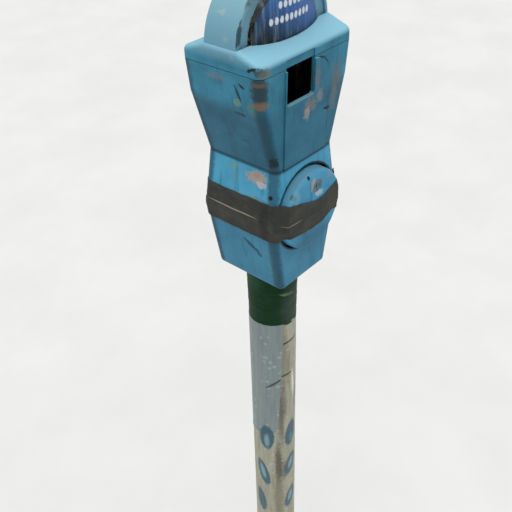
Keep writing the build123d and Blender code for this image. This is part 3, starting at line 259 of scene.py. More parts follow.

# chips, stains and scuffs, by shell, in millimetres from the foot of the pole; a few are painted shade or shadow,
# noted where they stand
PRIMER, PINK, TAN, SOOT, LICHEN = "#76787a", "#a89b91", "#6e665d", "#141a1c", "#7f9a72"
BLOTS: dict[Marks, tuple[Blot, ...]] = {
    Marks.HOUSING: (
        Blot((-86, -58, 1326), (10, 11, 17), "#2f4048", 0.85, soft=0.4),
        Blot((-85, -58, 1309), (9.5, 9.5, 5.5), "#85694c", 0.75, ragged=1, soft=0.5),
        Blot((-86, -58, 1335.5), (10, 10, 2.6), "#6c5c4a", 0.7, ragged=0.8, soft=0.5),
        Blot((-80, -46, 1303), (14, 7, 8), "#6f7f58", 0.35, soft=0.6),
        # painted shadow: a thin dark line along the right edge and top corner of the raised front pad, where its step
        # casts shade
        Blot((39.8, -64, 1262), (1, 6, 58), "#142b38", 0.85, ragged=0.15, soft=0.3),
        Blot((38.2, -64, 1321), (1, 6, 8), "#142b38", 0.85, turn=(0, -14, 0), ragged=0.15, soft=0.3),
        Blot((33.4, -65, 1331.5), (1, 6, 7.5), "#142b38", 0.85, turn=(0, -42, 0), ragged=0.15, soft=0.3),
        Blot((24.5, -65, 1337), (1, 6, 7), "#142b38", 0.8, turn=(0, -72, 0), ragged=0.15, soft=0.3),
        Blot((-62, -58, 1224), (7, 7, 9), SOOT, 0.75, ragged=1.2),
        Blot((2, -63, 1283), (12, 5, 9), PRIMER, 0.75, ragged=1.3, soft=0.35),
        Blot((-4, -63, 1272), (6, 5, 9), PINK, 0.55, ragged=1.3, soft=0.35),
        Blot((16, -64, 1316), (6, 5, 14), PRIMER, 0.5, ragged=1.2, soft=0.5),
        Blot((21, -64, 1289), (7, 5, 8), PINK, 0.4, ragged=1.2, soft=0.5),
        Blot((58, -62, 1302), (9, 8, 19), TAN, 0.6, ragged=1, soft=0.6),
        Blot((54, -62, 1274), (7, 8, 15), PRIMER, 0.5, ragged=1, soft=0.6),
        Blot((38, -63, 1266), (7.5, 5, 2.4), SOOT, 0.9, turn=(0, 12, 0)),
        Blot((-88, -33, 1329), (5, 4.6, 2), SOOT, 0.85, turn=(30, 0, 0)),
        Blot((-88, -26, 1318), (5, 1.5, 11), SOOT, 0.85, turn=(-24, 0, 0), ragged=0.7),
        Blot((-88, -24, 1305), (5, 6, 5), LICHEN, 0.5, ragged=1.3),
        Blot((-82, -25, 1290.5), (6, 9, 2.4), "#24404f", 0.8, ragged=0.9),
        Blot((-70, -21, 1249), (6, 6, 1.8), "#2c4d5e", 0.7, ragged=0.9),
        Blot((-89, 6, 1332), (5, 16, 4), "#7d7f80", 0.4, ragged=1.3, soft=0.4),
        Blot((62, 30, 1240), (8, 10, 7), PINK, 0.7, ragged=1.3),
        Blot((20, 62, 1262), (12, 6, 9), PRIMER, 0.6, ragged=1.3),
    ),
    Marks.VAULT: (
        Blot((-60.5, -27, 1194), (8, 16, 8.5), PINK, 0.95, turn=(-12, 0, 0), ragged=1.1),
        Blot((-60.5, -29, 1198), (8, 6, 4), "#a08a72", 0.6, turn=(-12, 0, 0), ragged=1.2),
        Blot((-60.5, -37, 1187), (8, 7, 5), "#c9bcb8", 0.7, ragged=1.2),
        Blot((-61, 12, 1198), (8, 10, 3.4), LICHEN, 0.55, turn=(-18, 0, 0), ragged=1.3),
        Blot((-61.5, 8, 1184), (8, 3, 5), "#7c8a5e", 0.5, ragged=1.3),
        Blot((-63.2, -53, 1174.5), (4.5, 3.2, 3.4), "#0c1417", 0.95, turn=(25, 0, 0), ragged=0.5),
        Blot((-65, -36, 1163.5), (6, 17, 4.5), "#5d8594", 0.7, ragged=1.3),
        Blot((-65, -22, 1165), (6, 4, 3), LICHEN, 0.55, ragged=1.3),
        Blot((-62, -17, 1083), (6, 17, 3.8), "#1d4a66", 0.9, turn=(33, 0, 0), ragged=0.7),
        Blot((-60, -30, 1072), (6, 5, 3), "#234f67", 0.7, ragged=0.9),
        Blot((10, -62, 1060), (2.5, 4, 9), "#3a6f8c", 0.6, ragged=0.9),
        Blot((64, 10, 1176), (7, 13, 8), PINK, 0.8, ragged=1.2),
        Blot((-22, 63, 1082), (13, 6, 6), PRIMER, 0.7, ragged=1.2),
    ),
    Marks.CAP: (
        Blot((-86, -50, 1352.5), (6, 8, 2.4), SOOT, 0.95, turn=(-20, 0, 0), ragged=1.1),
        Blot((-84, -58, 1350), (8, 7, 5.5), "#39413f", 0.75, ragged=1.3),
        Blot((-80, -62, 1346.5), (10, 6, 6), "#6e7266", 0.6, ragged=1.2, soft=0.4),
        Blot((-84, -25.5, 1392), (8, 1.8, 24), "#1c2a30", 0.8, ragged=1.1),
        Blot((-66, -25.5, 1422), (10, 1.8, 11), "#3a3f3a", 0.6, ragged=1.2),
        Blot((-55, -22, 1431), (10, 4, 6), "#b7b3a6", 0.7, ragged=1.3),
        Blot((-78, 4, 1404), (8, 6, 4), "#9fb0b0", 0.5, ragged=1.4),
        Blot((-84, -8, 1378), (6, 4, 3), "#93a9ad", 0.5, ragged=1.3),
        Blot((-86, -20, 1361), (6, 3, 4), "#87a3ac", 0.5, ragged=1.3),
        Blot((70, 20, 1418), (9, 7, 6), "#9aa19c", 0.6, ragged=1.3),
    ),
    Marks.DOOR: (
        Blot((-47, -74, 1178), (4.6, 5, 14), "#3b4247", 0.85, turn=(0, -38, 0), ragged=0.9),
        Blot((-39, -76, 1171), (9, 4, 9), "#78a6b8", 0.5, ragged=1.1, soft=0.5),
        Blot((-13, -76, 1189), (2.4, 3, 3.4), "#0d161a", 0.95, ragged=0.4),
        Blot((-2, -76, 1174), (6, 3, 8), PINK, 0.85, ragged=1.3),
        Blot((9, -76, 1158), (9, 3, 5), "#b3c3c6", 0.75, turn=(0, 25, 0), ragged=1.2),
        Blot((14, -76, 1174), (5, 3, 5), PRIMER, 0.6, ragged=1.3),
        Blot((36, -76, 1178), (6, 4, 8), "#8a8f95", 0.5, turn=(0, 40, 0), ragged=1.3),
        # painted shade: a large soft darker patch over the door's lower part
        Blot((0, -76, 1088), (52, 6, 20), "#2f5f78", 0.75, ragged=0.6, soft=0.6),
    ),
}


@dataclass(frozen=True)
class StreetEnamel:
    """Brushed-on blue street enamel over cast zinc: satin, paler where it faces up, partly from chalking and partly as
    painted sheen, chipped at corners.
    """

    marks: Marks
    walls: TaperedBox | None = None
    fresh: str = "#3d8aa6"
    deep: str = "#2d6e86"
    chalk_and_sheen: str = "#74a3b3"
    mottled: str = "#7c969c"
    dirt: str = "#16303d"

    def material(self) -> bpy.types.Material:
        """Mix the paint.

        Returns:
            The finished material.
        """
        material, tree = blank(f"blue_street_enamel_{self.marks.value}")
        at = millimetres(tree, put(tree, "TexCoord", out="Object"))
        cloud = noise(tree, at, 1 / 55.0, 4.0, 0.6)
        grain = noise(tree, at, 1 / 6.0, 5.0, 0.65)
        run = put(tree, "Mapping", {0: at, "Scale": (1.0, 1.0, 0.12)})
        runs = noise(tree, run, 1 / 9.0, 3.0, 0.55)
        x = axis(tree, at, "X")
        y = axis(tree, at, "Y")
        z = axis(tree, at, "Z")
        up = axis(tree, put(tree, "NewGeometry", out="Normal"), "Z")
        tone = remap(tree, cloud, 0.35, 0.65)
        colour = blend(tree, tone, self.deep, self.fresh)
        streak = remap(tree, runs, 0.56, 0.72, end=0.35)
        colour = blend(tree, streak, colour, self.dirt)
        # paler where the surface faces up: partly chalking, partly a painted sheen standing in for the sky's light on
        # top faces
        sky = remap(tree, up, 0.12, 0.8)
        colour = blend(tree, sky, colour, self.chalk_and_sheen)
        colour, chips = self.weather_and_shade(tree, at, (x, y, z), grain, up, colour)
        rough = remap(tree, grain, start=0.36, end=0.58)
        peel = noise(tree, at, 1 / 1.6, 2.0)
        low = calc(tree, "MULTIPLY_ADD", chips, -1.6, peel)
        dent = calc(tree, "MULTIPLY_ADD", cloud, 5.0, low)
        bump = put(tree, "Bump", {"Strength": 0.35, "Distance": 0.0003, "Height": dent})
        shader = put(tree, "BsdfPrincipled", {"Base Color": colour, "Roughness": rough, "Normal": bump,
                                              "IOR": 1.5, "Specular IOR Level": 0.14})
        put(tree, "OutputMaterial", {"Surface": shader})
        return material

    def weather_and_shade(self, tree: bpy.types.NodeTree, at: bpy.types.NodeSocket, axes: Sequence,
                grain: bpy.types.NodeSocket, up: bpy.types.NodeSocket, colour: bpy.types.NodeSocket) -> tuple:
        """Add painted shade low on the walls and down the rounded corners, a dark seam line, painted shade inside a
        casing, and the shell's own marks.

        Returns:
            The colour and the mask of the chips.
        """
        x, y, z = axes
        wide = calc(tree, "ABSOLUTE", x)
        deep = calc(tree, "ABSOLUTE", y)
        if self.walls is not None:
            # painted shade: the walls are darkened below a set height, on their lower, downward-tilted part
            rise = remap(tree, z, self.walls.painted_shade_from, self.walls.painted_shade_from - 14.0, end=0.42)
            colour = blend(tree, rise, colour, "#1c4c64")
            half_w = self.walls.half(tree, z, self.walls.half_widths)
            half_d = self.walls.half(tree, z, self.walls.half_depths)
            from_side = calc(tree, "SUBTRACT", half_w, wide)
            # painted shade: a dark band down each rounded corner of the casing
            from_front = calc(tree, "SUBTRACT", half_d, deep)
            near_front = calc(tree, "ADD", from_side, 3.0)
            near_side = calc(tree, "SUBTRACT", from_front, 4.0)
            corner = calc(tree, "MAXIMUM", near_front, near_side)
            shifted = calc(tree, "MULTIPLY_ADD", grain, 9.0, corner)
            band = remap(tree, shifted, 18.5, 10.5, end=0.72, interpolation_type="SMOOTHSTEP")
            colour = blend(tree, band, colour, "#22404f")
            seam = calc(tree, "SUBTRACT", z, self.walls.waist)
            seam = calc(tree, "ABSOLUTE", seam)
            seam = remap(tree, seam, 3.6, 1.6, end=0.75)
            colour = blend(tree, seam, colour, "#14303d")
            # painted shadow round the door on the vault's front
            if self.marks is Marks.VAULT:
                colour = self.door_ring_shadow(tree, (x, y, z), grain, colour)
            colour, chips = lay_blots(tree, at, grain, colour, BLOTS[self.marks])
            # painted shade: surfaces more than about 4 mm inside the outer walls, between floor and ceiling, are
            # painted near-black
            depth = calc(tree, "MINIMUM", from_side, from_front)
            inside = remap(tree, depth, 4.1, 4.7)
            above = calc(tree, "GREATER_THAN", z, self.walls.floor)
            below = calc(tree, "LESS_THAN", z, self.walls.ceiling)
            within = calc(tree, "MULTIPLY", above, below)
            inside = calc(tree, "MULTIPLY", inside, within)
            colour = blend(tree, inside, colour, "#0d1417")
            return colour, chips
        if self.marks is Marks.CAP:
            dome = remap(tree, z, 1350.0, 1362.0, end=0.75)
            colour = blend(tree, dome, colour, "#79a9bb")
            high = remap(tree, z, 1375.0, 1436.0, end=0.8)
            patch = remap(tree, grain, 0.4, 0.6)
            patch = calc(tree, "MULTIPLY_ADD", patch, 0.5, 0.5)
            grey = calc(tree, "MULTIPLY", high, patch)
            colour = blend(tree, grey, colour, self.mottled)
        return lay_blots(tree, at, grain, colour, BLOTS[self.marks])

    def door_ring_shadow(self, tree: bpy.types.NodeTree, axes: Sequence, grain: bpy.types.NodeSocket,
                   colour: bpy.types.NodeSocket) -> bpy.types.NodeSocket:
        """Painted shadow: a dark ring on the vault's front just outside the door, where the door's rim shades the
        casing.
        """
        x, y, z = axes
        rise = calc(tree, "SUBTRACT", z, DOOR_HEIGHT)
        square = calc(tree, "MULTIPLY", x, x)
        radius = calc(tree, "MULTIPLY_ADD", rise, rise, square)
        radius = calc(tree, "POWER", radius, 0.5)
        ragged = calc(tree, "MULTIPLY_ADD", grain, 2.4, radius)
        ring = remap(tree, ragged, 65.6, 64.4, end=0.9)
        front = calc(tree, "LESS_THAN", y, FRONT_ONLY)
        ring = calc(tree, "MULTIPLY", ring, front)
        return blend(tree, ring, colour, "#0b1a22")


@dataclass(frozen=True)
class PlainFinish:
    """A bare or coated surface: two tones, a mottle of a real size, and a fine tooth in the bump."""

    name: str
    light: str
    dark: str
    metallic: float = 0.0
    roughness: float = 0.5
    spread: float = 0.12
    mottle: float = 12.0
    tooth: float = 1.5
    stretch: Triple = (1.0, 1.0, 1.0)
    relief: float = 0.0001
    stain: str = ""
    stain_share: float = 0.0
    ior: float = 1.5

    def material(self) -> bpy.types.Material:
        """Mix the finish.

        Returns:
            The finished material.
        """
        material, tree = blank(self.name)
        at = millimetres(tree, put(tree, "TexCoord", out="Object"))
        along = put(tree, "Mapping", {0: at, "Scale": self.stretch})
        broad = noise(tree, along, 1 / self.mottle, 4.0, 0.6)
        fine = noise(tree, along, 1 / self.tooth, 3.0)
        tone = remap(tree, broad, 0.38, 0.62)
        colour = blend(tree, tone, self.dark, self.light)
        rough = remap(tree, fine, start=self.roughness - self.spread, end=self.roughness + self.spread)
        if self.stain:
            high = 0.75 - 0.4 * self.stain_share
            rust = noise(tree, at, 2.3 / self.mottle, 6.0, 0.7)
            mask = remap(tree, rust, high - 0.08, high + 0.05)
            colour = blend(tree, mask, colour, self.stain)
        bump = put(tree, "Bump", {"Strength": 0.5, "Distance": self.relief, "Height": fine})
        shader = put(tree, "BsdfPrincipled", {"Base Color": colour, "Roughness": rough, "Normal": bump,
                                              "Metallic": self.metallic, "IOR": self.ior})
        put(tree, "OutputMaterial", {"Surface": shader})
        return material


@dataclass(frozen=True)
class ClothTape:
    """Cloth-backed adhesive tape: a plain weave under a dull film, scuffed paler on its raised folds."""

    name: str
    film: str
    scuff: str
    thread: float = 1.4
    roughness: float = 0.5
    blots: tuple[Blot, ...] = ()

    def material(self) -> bpy.types.Material:
        """Mix the tape's finish; its weave follows the piece's own UV map, in metres.

        Returns:
            The finished material.
        """
        material, tree = blank(self.name)
        cloth = millimetres(tree, put(tree, "UVMap", uv_map="lay"))
        warp = put(tree, "TexWave", {"Vector": cloth, "Scale": THREAD_WAVE / self.thread, "Distortion": 0.6},
                   bands_direction="X")
        weft = put(tree, "TexWave", {"Vector": cloth, "Scale": THREAD_WAVE / self.thread, "Distortion": 0.6},
                   bands_direction="Y")
        weave = calc(tree, "MAXIMUM", warp, weft)
        broad = noise(tree, cloth, 1 / 26.0, 5.0, 0.6)
        pulled = put(tree, "Mapping", {0: cloth, "Scale": (0.12, 1.0, 1.0)})
        lines = noise(tree, pulled, 1 / 5.0, 4.0, 0.6)
        tone = remap(tree, broad, 0.45, 0.7, end=0.55)
        colour = blend(tree, tone, self.film, self.scuff)
        rub = remap(tree, lines, 0.56, 0.74, end=0.4)
        colour = blend(tree, rub, colour, self.scuff)
        height = calc(tree, "MULTIPLY_ADD", weave, 0.25, lines)
        if self.blots:
            colour, _ = lay_blots(tree, cloth, lines, colour, self.blots)
        bump = put(tree, "Bump", {"Strength": 0.6, "Distance": 0.0004, "Height": height})
        rough = remap(tree, broad, start=self.roughness - 0.12, end=self.roughness + 0.18)
        shader = put(tree, "BsdfPrincipled", {"Base Color": colour, "Roughness": rough, "Normal": bump,
                                              "IOR": 1.48, "Specular IOR Level": 0.1})
        put(tree, "OutputMaterial", {"Surface": shader})
        return material


@dataclass(frozen=True)
class PrintedWrap:
    """Thin printed sheet stuck round the pole: creased down its length, water-stained and torn through."""

    name: str
    ground: str
    shade: str
    fleck: str
    fleck_share: float
    blots: tuple[Blot, ...] = ()
    metallic: float = 0.0
    roughness: float = 0.55

    def material(self) -> bpy.types.Material:
        """Mix the sheet's finish on its UV map: distance round the pole and height, in metres.

        Returns:
            The finished material.
        """
        material, tree = blank(self.name)
        sheet = millimetres(tree, put(tree, "UVMap", uv_map="lay"))
        hung = put(tree, "Mapping", {0: sheet, "Scale": (1.0, 0.09, 1.0)})
        streaks = noise(tree, hung, 1 / 7.0, 5.0, 0.65)
        grain = noise(tree, sheet, 1 / 7.0, 5.0, 0.65)
        cloud = noise(tree, sheet, 1 / 45.0, 4.0)
        tone = remap(tree, streaks, 0.4, 0.68)
        colour = blend(tree, tone, self.ground, self.shade)
        dots = put(tree, "TexVoronoi", {"Vector": sheet, "Scale": 1 / 15.0, "Randomness": 0.9}, out="Distance")
        size = calc(tree, "MULTIPLY_ADD", cloud, 0.3, 0.05 + 0.2 * self.fleck_share)
        near = calc(tree, "SUBTRACT", size, dots)
        mask = remap(tree, near, 0.0, 0.16, end=self.fleck_share)
        colour = blend(tree, mask, colour, self.fleck)
        colour, _ = lay_blots(tree, sheet, grain, colour, self.blots)
        fold = calc(tree, "MULTIPLY_ADD", grain, 0.4, streaks)
        bump = put(tree, "Bump", {"Strength": 0.55, "Distance": 0.0006, "Height": fold})
        rough = remap(tree, cloud, start=self.roughness - 0.12, end=self.roughness + 0.12)
        shader = put(tree, "BsdfPrincipled", {"Base Color": colour, "Roughness": rough, "Normal": bump,
                                              "Metallic": self.metallic, "IOR": 1.48})
        put(tree, "OutputMaterial", {"Surface": shader})
        return material


@dataclass(frozen=True)
class CrazedPlastic:
    """Moulded clear polycarbonate: glossy, hazed in pale runs where sun and rain have crazed it."""

    name: str = "crazed_clear_polycarbonate"
    clear: float = 0.0
    haze: str = "#c9d6de"

    def material(self) -> bpy.types.Material:
        """Mix the plastic; the clear part is see-through and the runs of haze are not.

        Returns:
            The finished material.
        """
        material, tree = blank(self.name)
        at = millimetres(tree, put(tree, "TexCoord", out="Object"))
        hung = put(tree, "Mapping", {0: at, "Scale": (1.0, 1.0, 0.07)})
        runs = noise(tree, hung, 1 / 8.0, 4.0, 0.6)
        spots = noise(tree, at, 1 / 3.0, 3.0)
        veil = remap(tree, runs, 0.55, 0.76, end=0.24)
        dusty = remap(tree, spots, 0.62, 0.74, end=0.1)
        rim = put(tree, "LayerWeight", {"Blend": 0.35}, out="Facing")
        edge = calc(tree, "MULTIPLY_ADD", rim, 0.06, self.clear)
        alpha = calc(tree, "ADD", edge, veil)
        alpha = calc(tree, "ADD", alpha, dusty, use_clamp=True)
        rough = remap(tree, runs, start=0.05, end=0.4)
        bump = put(tree, "Bump", {"Strength": 0.2, "Distance": 0.0002, "Height": runs})
        shader = put(tree, "BsdfPrincipled", {"Base Color": paint(self.haze), "Roughness": rough, "Alpha": alpha,
                                              "Normal": bump, "IOR": 1.58, "Specular IOR Level": 0.12})
        put(tree, "OutputMaterial", {"Surface": shader})
        return material


@dataclass(frozen=True)
class NoticePrint:
    """Printed card: a blue ground that fades from dark to bright, with plain pale bars where text would be."""

    name: str = "notice_card_print"
    night: str = "#0b1a24"
    blue: str = "#2b62a6"
    pale: str = "#6f93b4"
    bars: tuple[Blot, ...] = tuple(
        Blot((left + 8.2 * step, -38, row), (2.9, 20, 4.4), "#e6ebee", 0.95, ragged=0.35)
        for left, row, count in ((-20.0, 1405.0, 6), (-34.0, 1388.0, 9)) for step in range(count)
    )

    def material(self) -> bpy.types.Material:
        """Mix the print.

        Returns:
            The finished material.
        """
        material, tree = blank(self.name)
        at = millimetres(tree, put(tree, "TexCoord", out="Object"))
        x = axis(tree, at, "X")
        z = axis(tree, at, "Z")
        grain = noise(tree, at, 1 / 4.0, 4.0, 0.6)
        hung = put(tree, "Mapping", {0: at, "Scale": (1.0, 1.0, 0.1)})
        runs = noise(tree, hung, 1 / 7.0, 4.0)
        slope = calc(tree, "MULTIPLY_ADD", x, 0.55, z)
        lift = calc(tree, "MULTIPLY_ADD", runs, 22.0, slope)
        bright = remap(tree, lift, 1362.0, 1412.0)
        colour = blend(tree, bright, self.night, self.blue)
        faded = remap(tree, runs, 0.52, 0.72, end=0.6)
        colour = blend(tree, faded, colour, self.pale)
        colour, _ = lay_blots(tree, at, grain, colour, self.bars)
        shader = put(tree, "BsdfPrincipled", {"Base Color": colour, "Roughness": 0.5, "IOR": 1.5,
                                              "Specular IOR Level": 0.15})
        put(tree, "OutputMaterial", {"Surface": shader})
        return material


@dataclass(frozen=True)
class DialEnamel:
    """White stove enamel on the dial with an even row of printed ticks and a red end."""

    name: str = "white_dial_enamel"
    centre: Triple = (0.0, 22.0, 1362.0)
    tick_inner: float = 41.0
    tick_outer: float = 50.0

    def material(self) -> bpy.types.Material:
        """Mix the dial's print, worked out from the angle round its centre.

        Returns:
            The finished material.
        """
        material, tree = blank(self.name)
        at = millimetres(tree, put(tree, "TexCoord", out="Object"))
        local = put(tree, "VectorMath", {0: at, 1: self.centre}, operation="SUBTRACT")
        x = axis(tree, local, "X")
        z = axis(tree, local, "Z")
        turn = calc(tree, "ARCTAN2", z, x)
        flat = put(tree, "CombineXYZ", {"X": x, "Z": z})
        radius = put(tree, "VectorMath", {0: flat}, out="Value", operation="LENGTH")
        phase = calc(tree, "MULTIPLY", turn, 24.0)
        wave = calc(tree, "GREATER_THAN", calc(tree, "COSINE", phase), 0.86)
        over = calc(tree, "GREATER_THAN", radius, self.tick_inner)
        under = calc(tree, "LESS_THAN", radius, self.tick_outer)
        ring = calc(tree, "MULTIPLY", over, under)
        tick = calc(tree, "MULTIPLY", wave, ring)
        mottle = noise(tree, at, 1 / 9.0, 4.0)
        colour = blend(tree, mottle, "#e4e2d6", "#cfccba")
        end = calc(tree, "GREATER_THAN", turn, 2.75)
        red = calc(tree, "MULTIPLY", end, over)
        colour = blend(tree, red, colour, "#a3352b")
        colour = blend(tree, tick, colour, "#1b1c1d")
        shader = put(tree, "BsdfPrincipled", {"Base Color": colour, "Roughness": 0.28, "IOR": 1.5})
        put(tree, "OutputMaterial", {"Surface": shader})
        return material


# ---------------------------------------------------------------- meshes from grids
def quads(rows: int, columns: int, start: int, loop: bool) -> np.ndarray:
    """Faces of a grid whose vertices run row by row from an index; loop joins the last column to the first."""
    r = np.arange(rows - 1)[:, None] * columns
    c = np.arange(columns if loop else columns - 1)[None, :]
    n = (c + 1) % columns
    corners = np.stack([r + c, r + n, r + columns + n, r + columns + c], axis=-1)
    return corners.reshape(-1, 4) + start


def skin(name: str, outer: Grid, thickness: float, lay: Grid, loop: bool = False,
         inward: Grid | None = None, crease: float = 40.0) -> bpy.types.Object:
    """Closed thin shell from a grid of points: the outer grid, a copy moved inwards, and a wall along each rim.

    Args:
        name: the piece's name.
        outer: points of shape (rows, columns, 3), in millimetres.
        thickness: how far the inner grid lies behind the outer one, in millimetres.
        lay: pattern coordinates of shape (rows, columns, 2), in millimetres.
        loop: whether the columns close round on themselves.
        inward: unit directions from outer to inner, or None to take them from the grid's own normals.
        crease: edges sharper than this many degrees stay sharp.

    Returns:
        The new object, at the origin.
    """
    rows, columns = outer.shape[:2]
    if inward is None:
        along = np.roll(outer, -1, 1) - np.roll(outer, 1, 1) if loop else np.gradient(outer, axis=1)
        across = np.gradient(outer, axis=0)
        inward = np.cross(along, across)
        inward = inward / np.maximum(np.linalg.norm(inward, axis=-1, keepdims=True), 1e-9)
    points = np.concatenate([outer.reshape(-1, 3), (outer + inward * thickness).reshape(-1, 3)]) * MM
    half = rows * columns
    faces = [quads(rows, columns, 0, loop), quads(rows, columns, half, loop)[:, ::-1]]
    index = np.arange(half).reshape(rows, columns)
    rims = [index[0], index[-1][::-1]]
    if not loop:
        rims += [index[:, -1], index[::-1, 0]]
    for rim in rims:
        a, b = (rim, np.roll(rim, -1)) if loop else (rim[:-1], rim[1:])
        faces.append(np.stack([b, a, a + half, b + half], axis=-1))
    mesh = bpy.data.meshes.new(name)
    mesh.from_pydata(points, [], np.concatenate(faces).tolist())
    mesh.validate()
    corner_vertex = np.zeros(len(mesh.loops), np.int32)
    mesh.loops.foreach_get("vertex_index", corner_vertex)
    flat = np.concatenate([lay.reshape(-1, 2)] * 2) * MM
    layer = mesh.uv_layers.new(name="lay")
    layer.data.foreach_set("uv", flat[corner_vertex].astype(np.float32).ravel())
    work = bmesh.new()
    work.from_mesh(mesh)
    bmesh.ops.recalc_face_normals(work, faces=work.faces)
    work.to_mesh(mesh)
    work.free()
    mesh.polygons.foreach_set("use_smooth", np.ones(len(mesh.polygons), bool))
    mesh.set_sharp_from_angle(angle=np.radians(crease))
    piece = bpy.data.objects.new(name, mesh)
    bpy.context.scene.collection.objects.link(piece)
    return piece


def settle(piece: bpy.types.Object, body: str, slot: str, material: bpy.types.Material,
           *replaced: str) -> bpy.types.Object:
    """Give a new piece its material, the body it rides on and the nodes it stands for."""
    piece.data.materials.clear()
    piece.data.materials.append(material)
    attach(piece, body)
    if replaced:
        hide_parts(*replaced)
    LOG.info("%s rides %s, %d faces", piece.name, body, len(piece.data.polygons))
    return piece


def rounded_loop(per_side: int, per_corner: int) -> tuple[Grid, Grid]:
    """Unit layout of a rounded rectangle's outline, from the front's middle round by the right.

    Each point is a place on the core rectangle, from -1 to 1 each way, plus a unit outward direction:
    constant along a side, and turning through a quarter circle at a corner.

    Args:
        per_side: points along each straight side.
        per_corner: points round each corner.

    Returns:
        Core places and outward directions, each of shape (n, 2).
    """
    corners = np.array([(1.0, -1.0), (1.0, 1.0), (-1.0, 1.0), (-1.0, -1.0)])
    core, out = [], []
    for i in range(4):
        here, there = corners[i], corners[(i + 1) % 4]
        turn = np.radians(-90.0 + 90.0 * i) + np.linspace(0.0, np.pi / 2, per_corner)
        core.append(np.repeat(here[None], per_corner, axis=0))
        out.append(np.stack([np.cos(turn), np.sin(turn)], axis=-1))
        share = np.linspace(0.0, 1.0, per_side + 2)[1:-1, None]
        core.append(here + (there - here) * share)
        out.append(np.repeat(out[-1][-1][None], per_side, axis=0))
    places, directions = np.concatenate(core), np.concatenate(out)
    start = len(places) - per_side // 2
    return np.roll(places, -start, axis=0), np.roll(directions, -start, axis=0)


def rims(share: Grid) -> Grid:
    """1 at both rims of a strip and 0 inside them."""
    return smoothstep(0.9, 1.0, share) + smoothstep(0.1, 0.0, share)


